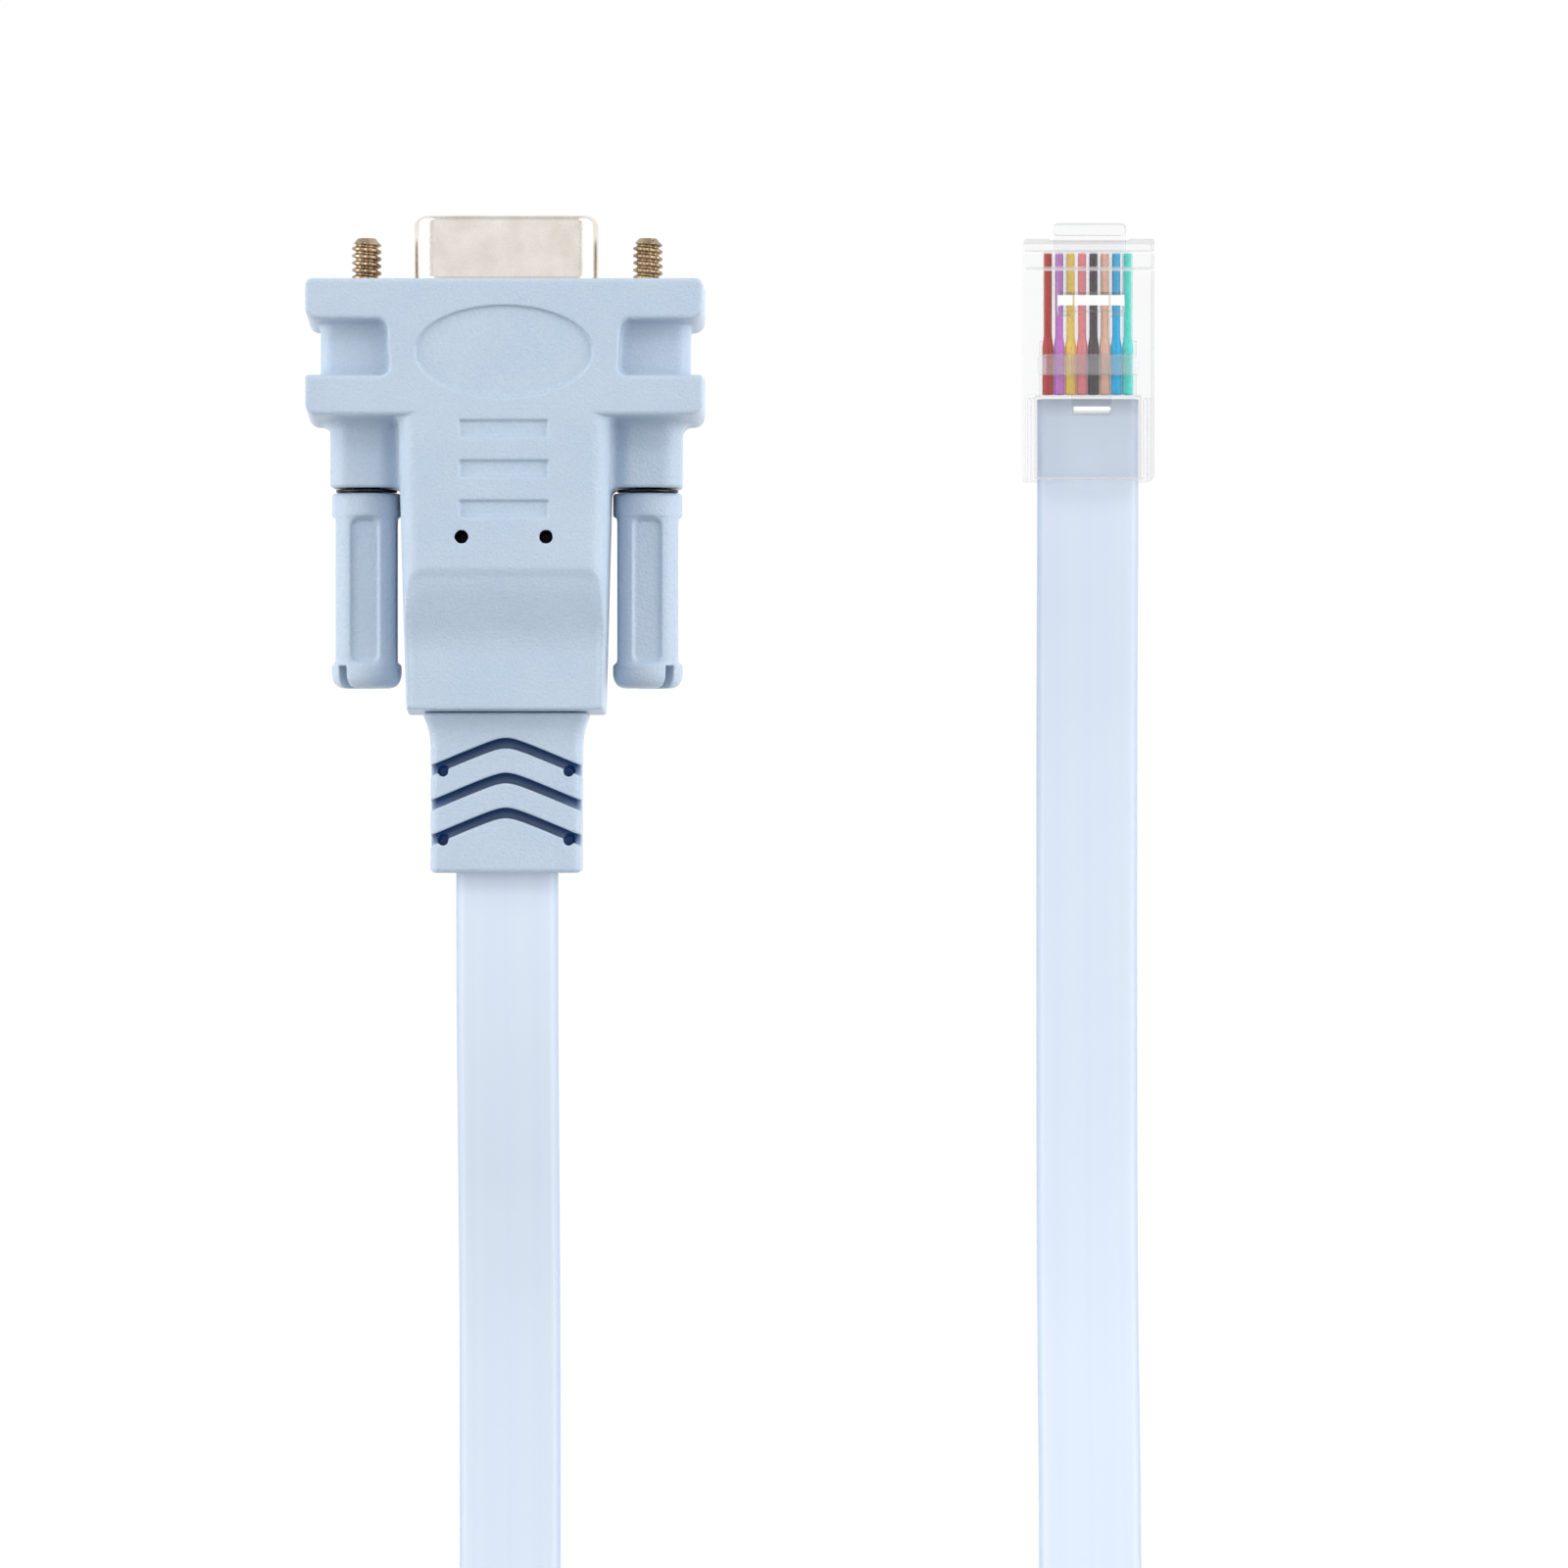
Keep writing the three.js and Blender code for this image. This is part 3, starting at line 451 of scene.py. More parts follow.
# The jacket's section carried along the route, turned about it as the route says.
def makeCable():
    line = through(np.vstack([fromHood, coilRoute(), toPlug]), perSegment=4)
    points, turn = line[:, :3], np.radians(line[:, 3])
    ahead = np.gradient(points, axis=0)
    ahead /= np.linalg.norm(ahead, axis=1, keepdims=True)
    level = np.stack([-ahead[:, 1], ahead[:, 0], np.zeros(len(points))], -1)
    level /= np.linalg.norm(level, axis=1, keepdims=True)
    upright = np.cross(ahead, level)
    across = np.cos(turn)[:, None] * level + np.sin(turn)[:, None] * upright
    outward = np.cross(ahead, across)
    section = jacketSection()
    count = len(section)
    rings = points[:, None] + section[None, :, :1] * across[:, None] + section[None, :, 1:] * outward[:, None]
    verts = np.vstack([rings.reshape(-1, 3), points[:1], points[-1:]])
    lastRing = (len(points) - 1) * count
    piece = newPiece("flatCable", verts, [
        gridFaces(len(points), count), fanFaces(len(verts) - 2, 0, count),
        fanFaces(len(verts) - 1, lastRing, count, flip=True)], jacket)
    along = np.concatenate([[0], np.cumsum(np.linalg.norm(np.diff(points, axis=0), axis=1))])
    u = np.concatenate([np.tile(section[:, 0] / cable["width"] + 0.5, len(points)), [0.5, 0.5]])
    v = np.concatenate([np.repeat(along, count), along[[0, -1]]]) * mm
    corners = np.zeros(len(piece.data.loops), np.int32)
    piece.data.loops.foreach_get("vertex_index", corners)
    uv = np.stack([u[corners], v[corners]], -1)
    piece.data.uv_layers.new(name="jacket").data.foreach_set("uv", uv.ravel())
    return piece, points, along[-1]


flatCable, cablePath, cableLength = makeCable()
print("cable", round(cableLength, 1), "mm long")


# The tie: a flat strap around the coil's turns, a rounded box outline carried once round.
tie = {"width": 4.0, "thickness": 0.5, "inner": 32.93, "outer": 54.15, "bottom": 0.5, "top": 10.25,
       "corner": 1.2, "bevel": 0.15}


def makeTie():
    r0, r1, z0, z1, c = (tie[word] for word in ("inner", "outer", "bottom", "top", "corner"))
    centres = [(r1 - c, z1 - c, 0), (r0 + c, z1 - c, 90), (r0 + c, z0 + c, 180), (r1 - c, z0 + c, 270)]
    loop, normal = [], []
    for r, z, start in centres:
        a = np.radians(np.arange(0, 91, 15)) + math.radians(start)
        normal.append(np.stack([np.cos(a), np.sin(a)], -1))
        loop.append(np.array([r, z]) + c * normal[-1])
    loop, normal = np.vstack(loop), np.vstack(normal)
    w, t, b = tie["width"] / 2, tie["thickness"], tie["bevel"]
    profile = np.array([[b - w, 0], [w - b, 0], [w, b], [w, t - b],
                        [w - b, t], [b - w, t], [-w, t - b], [-w, b]])
    out = loop[:, None] + normal[:, None] * profile[None, :, 1:]
    sideways = np.broadcast_to(profile[None, :, 0], out.shape[:2])
    verts = np.stack([cable["coilX"] + sideways, cable["coilY"] - out[..., 0], out[..., 1]], -1)
    return newPiece("strapTie", verts, [gridFaces(len(loop), len(profile), wrapRings=True)], tieBlack)


strapTie = makeTie()


# The hood. Up is the distance from the parting plane, and lengths run back from the mating face.
hoodShape = {
    "flangeHalf": 17.6, "frontFlange": 3.6, "rearFlangeStart": 8.5, "tailStart": 12.0, "end": 38.3,
    "draft": 0.1, "sideDraft": 0.02, "edge": 0.35, "corner": 1.0, "frontCorner": 0.6,
    "waistHalf": 10.3, "waistTaper": 0.06, "waistMiddle": 6.0, "waistEnds": (1.5, 11.0), "windowCorner": 0.87,
    "columnHalf": 16.3, "columnUp": 5.4, "columnEdge": 1.2, "columnEnds": (1.8, 10.2),
    "tailFront": 9.5, "tailRear": 8.8, "tailEdge": 1.9, "tailUnder": 10.5, "endEdge": 0.22, "endDraft": 0.08,
    "bossHalf": 3.1, "bossUp": 4.1, "bossEdge": 1.8, "bossStart": 10.0, "bossEnd": 18.2, "gripRoom": 3.38,
    "scoopRim": 0.4, "scoopCorner": 1.75, "scoopEdge": 0.8, "scoopFoot": 0.5,
    "scoopStart": 25.9, "scoopSlope": 0.38, "scoopSteep": 4.6, "scoopEase": 2.6,
    "plateHalf": 15.5, "plateUp": 6.35, "plateDeep": 0.9,
    "cavityHalf": 8.3, "cavityUp": 4.0, "cavityCorner": 1.5, "cavityDeep": 8.2,
    "badgeAcross": 7.85, "badgeAlong": 4.05, "badgeCentre": 6.45, "relief": 0.34,
    "barHalf": 3.97, "barAlong": 0.77, "firstBar": 13.2, "barPitch": 3.53, "barDraft": 0.35,
    "pinSpacing": 7.42, "pinCentre": 22.73, "pinRadius": 0.58, "pinDepth": 4.0, "screwBore": 1.72}


# Depth of the thumb rest below the flat: a steady slope that eases out to level.
def scoopDepth(d):
    s = named(hoodShape)
    u = d - s.scoopStart
    eased = np.clip(u - s.scoopSteep, 0, s.scoopEase)
    return s.scoopSlope * (np.minimum(u, s.scoopSteep) + eased - eased ** 2 / (2 * s.scoopEase))


# Distance from the wall of a round pin hole in the top.
def pinField(side, d):
    s = named(hoodShape)
    return np.sqrt((side - s.pinSpacing / 2) ** 2 + (d - s.pinCentre) ** 2) - s.pinRadius


# Two flanges with a waist between them, a long tail with a thumb rest, a column and a boss around
# each screw; out of these come the pockets, the bores, the oval, the bars and the pin holes.
def hoodField(x, y, z):
    s = named(hoodShape)
    d, h = matingFace - y, z - midPlane
    up, side = abs(h), abs(x)
    top = up - midPlane
    flange = side - s.flangeHalf + s.sideDraft * up
    deeper = s.draft * (midPlane - up)
    front = block(flange, d - s.frontFlange - deeper, s.corner, -d, s.frontCorner)
    rear = block(flange, d - s.tailStart - deeper, s.corner, s.rearFlangeStart - 0.2 * deeper - d, 0.25)
    waist = side - s.waistHalf + s.waistTaper * (d - s.waistMiddle) + s.sideDraft * up
    waist = both(waist, between(d, *s.waistEnds))
    plan = roundEither(roundEither(front, waist, s.windowCorner), rear, s.windowCorner)
    along = (d - s.tailStart) / (s.end - s.tailStart)
    flank = side - (s.tailFront + (s.tailRear - s.tailFront) * along) + s.sideDraft * up
    tail = roundBoth(flank, top, s.tailEdge)
    rest = roundBoth(flank + s.scoopRim, s.scoopStart - d, s.scoopCorner)
    tail = roundCut(tail, roundBoth(rest, -top - scoopDepth(d), s.scoopFoot), s.scoopEdge)
    tail = roundBoth(tail, between(d, s.tailUnder, s.end - s.endDraft * up), s.endEdge)
    ray = np.sqrt((side - screwX) ** 2 + h ** 2)
    column = roundBoth(side - s.columnHalf, up - s.columnUp, s.columnEdge)
    column = both(column, between(d, *s.columnEnds))
    boss = roundBoth(abs(side - screwX) - s.bossHalf, up - s.bossUp, s.bossEdge)
    boss = roundBoth(boss, between(d, s.bossStart, s.bossEnd), 0.3)
    body = roundEither(roundBoth(plan, top, s.edge), column, 0.3)
    body = roundEither(body, tail, 0.6 * np.clip(-top / 1.5, 1e-6, 1))    # no fillet where their tops meet
    body = roundEither(body, boss, 0.9)
    body = roundCut(body, both(ray - s.gripRoom, s.bossEnd - d), 0.1)
    body = roundCut(body, both(ray - s.screwBore, d - s.bossEnd - 1), 0.12)
    pocket = both(roundBoth(side - s.plateHalf, up - s.plateUp, 1.0), d - s.plateDeep)
    body = roundCut(body, pocket, 0.12)
    cavity = roundBoth(side - s.cavityHalf, up - s.cavityUp, s.cavityCorner)
    body = roundCut(body, both(cavity, d - s.cavityDeep), 0.15)
    floor = midPlane - s.relief - h
    badge = np.sqrt((x / s.badgeAcross) ** 2 + ((d - s.badgeCentre) / s.badgeAlong) ** 2 + 1e-9) - 1
    body = roundCut(body, roundBoth(badge * s.badgeAlong, floor, 0.06), 0.09)
    for bar in range(3):
        middle = s.firstBar + bar * s.barPitch
        slope = s.barDraft * (midPlane - h)
        groove = roundBoth(side - s.barHalf + slope, abs(d - middle) - s.barAlong + slope, 0.12)
        body = roundCut(body, roundBoth(groove, floor, 0.06), 0.09)
    return roundCut(body, both(pinField(side, d), midPlane - s.pinDepth - h), 0.09)


# Keeps a field's value at each point of a piece as an attribute.
def mark(piece, name, field):
    points = np.zeros(len(piece.data.vertices) * 3)
    piece.data.vertices.foreach_get("co", points)
    points = points.reshape(-1, 3) / mm
    attribute = piece.data.attributes.new(name, "FLOAT", "POINT")
    attribute.data.foreach_set("value", field(*points.T).astype(np.float32))


# Painted shade: 1 is painted shade deep in a slot, 2 is painted black as shade. Here only the pin holes get
# it, painted black.
def hoodRecessShade(x, y, z):
    inPin = pinField(abs(x), matingFace - y) < 0.12
    return 2.0 * (inPin & (z > midPlane) & (z < 2 * midPlane - 0.12))


hood = thin(skin("hoodMoulding", hoodField, (-18.2, -15.7, -0.6), (18.2, 23.8, 16.1), 0.15, pvc), 190000)
mark(hood, "recessShade", hoodRecessShade)
print("hood", len(hood.data.polygons), "faces")

# The strain relief: a slab that flares towards the hood, with chevron slots and holes at their ends.
reliefShape = {"start": 38.1, "end": 52.3, "half": 6.7, "flare": 0.75, "flareLength": 3.1, "rise": 0.6,
               "up": 3.3, "corner": 0.9, "slots": 3, "apex": 2.05, "pitch": 3.09, "slotLength": 0.92,
               "slope": 0.43, "apexRadius": 1.0, "depth": 1.9, "holeRadius": 0.47, "holeX": 5.55,
               "holeAt": (5.0, 11.1), "holeDepth": 2.2}


# How far past a slot's upper wall a point is; the wall is a chevron with a round apex.
def pastSlot(side, d, slot):
    s = named(reliefShape)
    bow = np.sqrt(side ** 2 + s.apexRadius ** 2) - s.apexRadius
    return d - (hoodShape["end"] + s.apex + slot * s.pitch + s.slope * bow)


# Distance from the wall of a round hole at the slots' ends.
def holeField(side, d, place):
    s = named(reliefShape)
    return np.sqrt((side - s.holeX) ** 2 + (d - hoodShape["end"] - place) ** 2) - s.holeRadius


def reliefField(x, y, z):
    s = named(reliefShape)
    d, h = matingFace - y, z - midPlane
    side, up = abs(x), abs(h)
    t = np.clip(1 - (d - s.start) / s.flareLength, 0, 1)
    half, high = s.half + s.flare * t ** 2, s.up + s.rise * t ** 2
    body = roundBoth(side - half, up - high, s.corner)
    body = roundBoth(body, between(d, s.start, s.end), 0.45)
    for slot in range(s.slots):
        groove = between(pastSlot(side, d, slot), 0, s.slotLength) * 0.92
        body = roundCut(body, roundBoth(groove, s.up - s.depth - up, 0.15), 0.12)
    for place in s.holeAt:
        body = roundCut(body, both(holeField(side, d, place), s.up - s.holeDepth - up), 0.1)
    return body


# Painted shade in the slots: darkest along a slot's upper wall and lightening towards the lower one; the
# holes at the slots' ends are painted dark as shade.
def reliefSlotShade(x, y, z):
    s = named(reliefShape)
    d, side, up = matingFace - y, abs(x), abs(z - midPlane)
    dark = 0.0 * d
    for slot in range(s.slots):
        across = pastSlot(side, d, slot) / s.slotLength
        dark = np.maximum(dark, (across > -0.12) * (across < 1.12) * np.clip(1.25 - 0.75 * across, 0, 1))
    for place in s.holeAt:
        dark = np.maximum(dark, holeField(side, d, place) < 0.08)
    return dark * np.clip((s.up - up - 0.15) / 0.5, 0, 1) * np.clip((s.half - side) / 0.5, 0, 1)


relief = skin("strainReliefMoulding", reliefField, (-8.2, -29.7, 2.5), (8.2, -14.2, 13.0), 0.14, pvc)
mark(relief, "recessShade", reliefSlotShade)

gripShape = {"front": 18.65, "length": 17.3, "collar": 3.08, "collarEnd": 2.1, "shank": 2.73,
             "shankEdge": 1.75, "flareStart": 15.0, "flare": 3.1, "endRadius": 2.1, "endRound": 1.4,
             "bore": 1.57, "boreDepth": 9.15, "panelHalf": 1.28, "panelStart": 2.3, "panelEnd": 14.95,
             "panelFloor": 2.42, "panelWall": 0.45, "slotHalf": 0.45, "slotDepth": 2.0}


# A thumbscrew's grip: a round collar, a rounded square shank with four sunk panels, and a flared
# round end with a screwdriver's slot.
def gripField(side, slotAngle):
    c, s = math.cos(math.radians(slotAngle)), math.sin(math.radians(slotAngle))

    def field(x, y, z):
        g = named(gripShape)
        d = matingFace - y - g.front
        a, b = x - side * screwX, z - midPlane
        ray = np.sqrt(a ** 2 + b ** 2 + 1e-12)
        collar = roundBoth(ray - g.collar, between(d, 0, g.collarEnd), 0.22)
        u, v = np.maximum(abs(a), abs(b)), np.minimum(abs(a), abs(b))
        shank = roundBoth(abs(a) - g.shank, abs(b) - g.shank, g.shankEdge)
        shank = both(shank, between(d, 0.3, g.flareStart + 0.4))
        rise = np.clip((g.length - d) / g.endRound, 0, 1)
        taper = ray - g.endRadius - (g.flare - g.endRadius) * np.sqrt(1 - (1 - rise) ** 2)
        flare = block(taper, g.flareStart - d, 0.45, d - g.length, 0.3)
        body = roundEither(roundEither(collar, shank, 0.25), flare, 0.2)
        wall = g.panelWall * (g.shank - u)
        ends = between(d, g.panelStart + wall, g.panelEnd - wall)
        panel = roundBoth(v - g.panelHalf + wall, ends, 0.6)
        body = roundCut(body, roundBoth(panel, g.panelFloor - u, 0.12), 0.12)
        body = roundCut(body, both(ray - g.bore, d - g.boreDepth), 0.1)
        across = a * c + b * s
        slot = both(abs(across) - g.slotHalf, g.length - g.slotDepth - d)
        return roundCut(body, slot, 0.12)
    return field


grips = {}
for side, word, slotAngle in ((-1, "left", 41), (1, "right", -41)):
    x = side * screwX
    grips[word] = skin(word + "GripMoulding", gripField(side, slotAngle), (x - 3.5, -13.2, midPlane - 3.5),
                       (x + 3.5, 5.0, midPlane + 3.5), 0.14, pvc)
print("relief and grips made")

# The D-shaped shell and its plate
shellShape = {"width": 16.33, "height": 7.9, "corner": 2.0, "slope": 10.0, "wall": 0.45, "length": 5.85,
              "rim": 0.5, "rimEnds": 0.95, "foot": 0.45, "back": 0.7, "plateHalf": 15.405, "plateUp": 6.25,
              "plate": 0.8, "openHalf": 7.6, "openLean": 0.17, "openUp": 3.3, "openCorner": 1.5}


# Outline of the D and its outward directions: four arcs joined by straight sides.
def shellOutline(steps=16, straight=10):
    s = named(shellShape)
    lean = math.tan(math.radians(s.slope))
    wide, up = s.width / 2 - s.corner, s.height / 2 - s.corner
    narrow = wide - 2 * up * lean
    corners = [(wide, up, -10, 90), (-wide, up, 90, 190), (-narrow, -up, 190, 270), (narrow, -up, 270, 350)]
    places, outward = [], []
    for x, z, start, end in corners:
        a = np.radians(np.linspace(start, end, steps))
        outward.append(np.stack([np.cos(a), np.sin(a)], -1))
        places.append(np.array([x, z]) + s.corner * outward[-1])
    t = np.linspace(0, 1, straight + 1)[1:-1, None]
    joined, facing = [], []
    for k in range(4):
        after = (k + 1) % 4
        joined += [places[k], places[k][-1] * (1 - t) + places[after][0] * t]
        facing += [outward[k], outward[k][-1] * (1 - t) + outward[after][0] * t]
    return np.vstack(joined), np.vstack(facing)


# The shell's wall: the outline carried along a profile that flares out of the plate, runs
# forward, curls in over the rim and comes back inside. The curl is wider at the two ends.
def shellWall():
    s = named(shellShape)
    outline, outward = shellOutline()
    curl = s.rim + (s.rimEnds - s.rim) * abs(outward[:, 0]) ** 2
    zero = np.zeros(len(outline))
    rings = []

    def ring(inset, forward):
        spot = outline - outward * (zero + inset)[:, None]
        rings.append(np.stack([spot[:, 0], matingFace + forward + zero, spot[:, 1] + midPlane], -1))

    for a in np.radians(np.linspace(0, 90, 7)):
        ring(-s.foot * (1 - math.sin(a)), s.foot * (1 - math.cos(a)))
    for forward in (1.2, 2.4, 3.6):
        ring(0, forward)
    for a in np.radians(np.linspace(0, 90, 10)):
        ring(curl * (1 - math.cos(a)), s.length - curl * (1 - math.sin(a)))
    inside = np.maximum(curl - s.wall, 0.02)
    for a in np.radians(np.linspace(90, 0, 6)):
        ring(s.wall + inside * (1 - math.cos(a)), s.length - s.wall - inside * (1 - math.sin(a)))
    ring(s.wall, -s.back)
    ring(-s.foot, -s.back)
    return np.vstack(rings), [gridFaces(len(rings), len(outline), wrapRings=True)]


# A thin plate with two screw holes and a leaning opening for the insulator.
def plateField(x, y, z):
    s = named(shellShape)
    h = z - midPlane
    plate = block(abs(x) - s.plateHalf, abs(h) - s.plateUp, 1.0,
                  between(y, matingFace - s.plate, matingFace), 0.12)
    ray = np.sqrt((abs(x) - screwX) ** 2 + h ** 2) - hoodShape["screwBore"]
    opening = roundBoth(abs(x) - s.openHalf - s.openLean * h, abs(h) - s.openUp, s.openCorner)
    return roundCut(roundCut(plate, ray, 0.1), opening, 0.1)


# Turns all faces outwards.
def recalculated(piece):
    work = bmesh.new()
    work.from_mesh(piece.data)
    bmesh.ops.recalc_face_normals(work, faces=work.faces)
    work.to_mesh(piece.data)
    work.free()
    return piece


shell = recalculated(newPiece("shellWall", *shellWall(), shellNickel))
plate = skin("shellPlate", plateField, (-15.8, 22.1, 1.1), (15.8, 23.6, 14.4), 0.18, shellNickel)

# Forward of the mating face is positive here.
screwShape = {"tip": 4.05, "crest": 1.32, "root": 0.98, "pitch": 0.635, "threadEnd": -1.6, "shaft": 1.25,
              "end": -27.6, "groove": 0.22, "grooveHalf": 0.22, "tipRadius": 0.8, "tipSlope": 0.9}


# Thread: the radius swings between crest and root once a pitch, and the phase turns with the
# angle; the last pitch fades out at the tip, and one or two straight grooves run lengthwise.
def jackscrew(word, side, grooves):
    s = named(screwShape)
    thread = np.linspace(s.tip, s.threadEnd, 190)
    t = np.concatenate([thread, [s.threadEnd - 0.2, s.end]])[:, None]
    a = np.linspace(0, 2 * np.pi, 72, endpoint=False)[None, :]
    phase = (t / s.pitch - a / (2 * np.pi)) % 1
    radius = s.root + (s.crest - s.root) * smooth(1.35 - 3.0 * abs(phase - 0.5))
    radius = np.where(t < s.threadEnd - 0.1, s.shaft, radius)
    for angle in grooves:
        off = abs((a - math.radians(angle) + np.pi) % (2 * np.pi) - np.pi)
        radius = radius - s.groove * np.clip(1 - off / s.grooveHalf, 0, 1) * (t > 0.4)
    radius = np.minimum(radius, s.tipRadius + s.tipSlope * (s.tip - t))
    centre = np.array([side * screwX, matingFace, midPlane])
    verts = np.stack([radius * np.cos(a), t + 0 * a, radius * np.sin(a)], -1).reshape(-1, 3)
    verts = np.vstack([verts, [[0, s.tip, 0], [0, s.end, 0]]]) + centre
    count = a.shape[1]
    return recalculated(newPiece(word + "Jackscrew", verts, [
        gridFaces(len(t), count), fanFaces(len(verts) - 2, 0, count),
        fanFaces(len(verts) - 1, (len(t) - 1) * count, count, flip=True)], screwNickel))


screws = {"left": jackscrew("left", -1, (100,)), "right": jackscrew("right", 1, (60, 100))}


# A turned piece: a profile of (radius, forward) carried round an axis along y.
def turned(profile, centre, count=48):
    profile = np.asarray(profile, float)
    a = np.linspace(0, 2 * np.pi, count, endpoint=False)[None, :]
    verts = np.stack([profile[:, :1] * np.cos(a), profile[:, 1:] + 0 * a, profile[:, :1] * np.sin(a)], -1)
    return verts.reshape(-1, 3) + np.asarray(centre, float), [gridFaces(len(profile), count, wrapRings=True)]


washerShape = {"inner": 1.57, "outer": 2.72, "thickness": 0.25, "front": 18.3, "innerEdge": 0.05,
               "outerEdge": 0.06}


def washerProfile():
    s = named(washerShape)
    a, b, t, i, o = s.inner, s.outer, s.thickness, s.innerEdge, s.outerEdge
    return [(a, i - t), (a + i, -t), (b - o, -t), (b, o - t), (b, -o), (b - o, 0), (a + i, 0), (a, -i)]


washers = {}
for side, word in ((-1, "left"), (1, "right")):
    centre = (side * screwX, matingFace - washerShape["front"], midPlane)
    washers[word] = recalculated(newPiece(word + "Washer", *turned(washerProfile(), centre), shadedWasherSteel))
print("shell and screws made")

# The insulator and its socket contacts
contactShape = {"pitch": 2.77, "rows": 2.84, "hole": 0.9, "mouth": 0.35, "face": 5.2, "back": -4.0,
                "play": 0.15, "outer": 0.75, "bore": 0.5, "setBack": 0.3, "length": 8.0, "boreDepth": 5.0}


# Five places over four, as x and height over the middle.
def contactPlaces():
    c = named(contactShape)
    upper = [((i - 2) * c.pitch, c.rows / 2) for i in range(5)]
    lower = [((i - 1.5) * c.pitch, -c.rows / 2) for i in range(4)]
    return upper + lower


# A block with the shell's outline, set in by the wall and a little play, with nine holes.
def insulatorField(x, y, z):
    s, c = named(shellShape), named(contactShape)
    h, f = z - midPlane, y - matingFace
    inset = s.wall + c.play
    wide, up = s.width / 2 - s.corner, s.height / 2 - s.corner
    lean = math.radians(s.slope)
    flank = abs(x) - (wide + s.corner / math.cos(lean)) - (h - up) * math.tan(lean)
    body = roundBoth(flank * math.cos(lean) + inset, abs(h) - (s.height / 2 - inset), s.corner - inset)
    body = roundBoth(body, between(f, c.back, c.face), 0.15)
    for px, pz in contactPlaces():
        hole = np.sqrt((x - px) ** 2 + (h - pz) ** 2)
        mouth = np.maximum(f - c.face + c.mouth, 0) * 0.6
        body = roundCut(body, hole - c.hole - mouth, 0.06)
    return body


insulator = skin("insulatorBlock", insulatorField, (-8.1, 18.9, 3.8), (8.1, 29.1, 11.7), 0.18, blackPlastic)


# Tubes with a chamfered mouth and a closed back end.
def socketContacts():
    c = named(contactShape)
    front = matingFace + c.face - c.setBack
    profile = [(0.001, -c.length), (c.outer, -c.length), (c.outer, -0.1), (c.outer - 0.1, 0),
               (c.bore + 0.08, 0), (c.bore, -0.12), (c.bore, -c.boreDepth), (0.001, -c.boreDepth)]
    return [turned(profile, (x, front, midPlane + h), 24) for x, h in contactPlaces()]


contacts = [recalculated(newPiece(f"socketTube{number}", *tube, contactGold))
            for number, tube in enumerate(socketContacts(), 1)]
print("insulator and contacts made")

# The modular plug
plugShape = {"x": 51.8, "front": 27.4, "half": 5.84, "length": 21.46, "height": 6.6, "rearHeight": 7.2,
             "rearStart": 13.9, "rearInset": 0.15, "edge": 0.22, "coreZ": 3.3, "coreUp": 0.62,
             "pitch": 1.02, "channelHalf": 0.46, "channelFront": 0.9, "spread": 9.0, "roomHalf": 4.35,
             "jacketFront": 14.16, "entryHalf": 4.75, "entryUp": 1.5, "bladeHalf": 0.28, "bladeStart": 1.1,
             "bladeEnd": 5.95, "crimpStart": 10.3, "crimpLength": 1.75, "crimpHalf": 4.5,
             "crimpFloor": 4.0, "crimpLean": 0.3, "pocketHalf": 3.5, "pocketDeep": 0.2, "pocketFloor": 5.0,
             "frontLines": (1.15, 2.75), "frontLineFloor": 6.25, "sideLines": (5.0, 5.35),
             "sideLineFloor": 4.6}


# A block with a taller rear, hollow for the cable, the wires and the blades, with lines on top.
def plugField(x, y, z):
    p = named(plugShape)
    a, d = x - p.x, p.front - y
    side = abs(a)
    body = block(side - p.half, between(d, 0, p.length), 0.3, between(z, 0, p.height), p.edge)
    rear = block(side - p.half + p.rearInset, between(d, p.rearStart, p.length), 0.3,
                 between(z, 0, p.rearHeight), p.edge)
    body = roundEither(body, rear, 0.15)
    # cable entry, wire channels with ribs between them in front, one open room behind
    entry = roundBoth(side - p.entryHalf, abs(z - p.coreZ) - p.entryUp, 0.5)
    body = roundCut(body, both(entry, p.jacketFront - 0.3 - d), 0.15)
    inRow = a / p.pitch - 0.5
    fromWire = abs(inRow - np.round(inRow)) * p.pitch
    inside = side - 4 * p.pitch
    channel = roundBoth(fromWire - p.channelHalf, abs(z - p.coreZ) - p.coreUp, 0.25)
    channel = both(both(channel, inside), between(d, p.channelFront, p.spread))
    body = roundCut(body, channel, 0.06)
    room = roundBoth(side - p.roomHalf, abs(z - p.coreZ) - p.coreUp, 0.25)
    body = roundCut(body, both(room, between(d, p.spread - 0.05, p.jacketFront + 0.2)), 0.08)
    blade = both(fromWire - p.bladeHalf, inside)
    blade = both(blade, between(d, p.bladeStart, p.bladeEnd))
    body = roundCut(body, both(blade, z - p.coreZ + 0.5), 0.06)
    # lines across the front, grooves and a ledge along the rear's sides
    for place in p.frontLines:
        body = roundCut(body, both(abs(d - place) - 0.09, p.frontLineFloor - z), 0.04)
    for place in p.sideLines:
        groove = both(abs(side - place) - 0.13, between(d, p.rearStart + 0.3, 99.0))
        body = roundCut(body, both(groove, p.sideLineFloor - z), 0.04)
    # crimp window with sloping ends, and the pocket behind the latch's nose
    window = side - p.crimpHalf + p.crimpLean * (z - p.crimpFloor - 0.2)
    window = both(window, between(d, p.crimpStart, p.crimpStart + p.crimpLength))
    body = roundCut(body, both(window, p.crimpFloor - z), 0.12)
    pocket = both(side - p.pocketHalf, both(d - p.pocketDeep, p.pocketFloor - z))
    return roundCut(body, pocket, 0.06)


plug = skin("plugHousingClear", plugField, (45.6, 5.5, -0.4), (58.0, 27.8, 7.6), 0.15, polycarbonate)
plug = thin(plug, 150000)

# How strongly white is painted as highlight on the crimp window, the lines and the latch.
highlightStrength = {"window": 0.16, "lines": 0.6, "latch": 0.85}
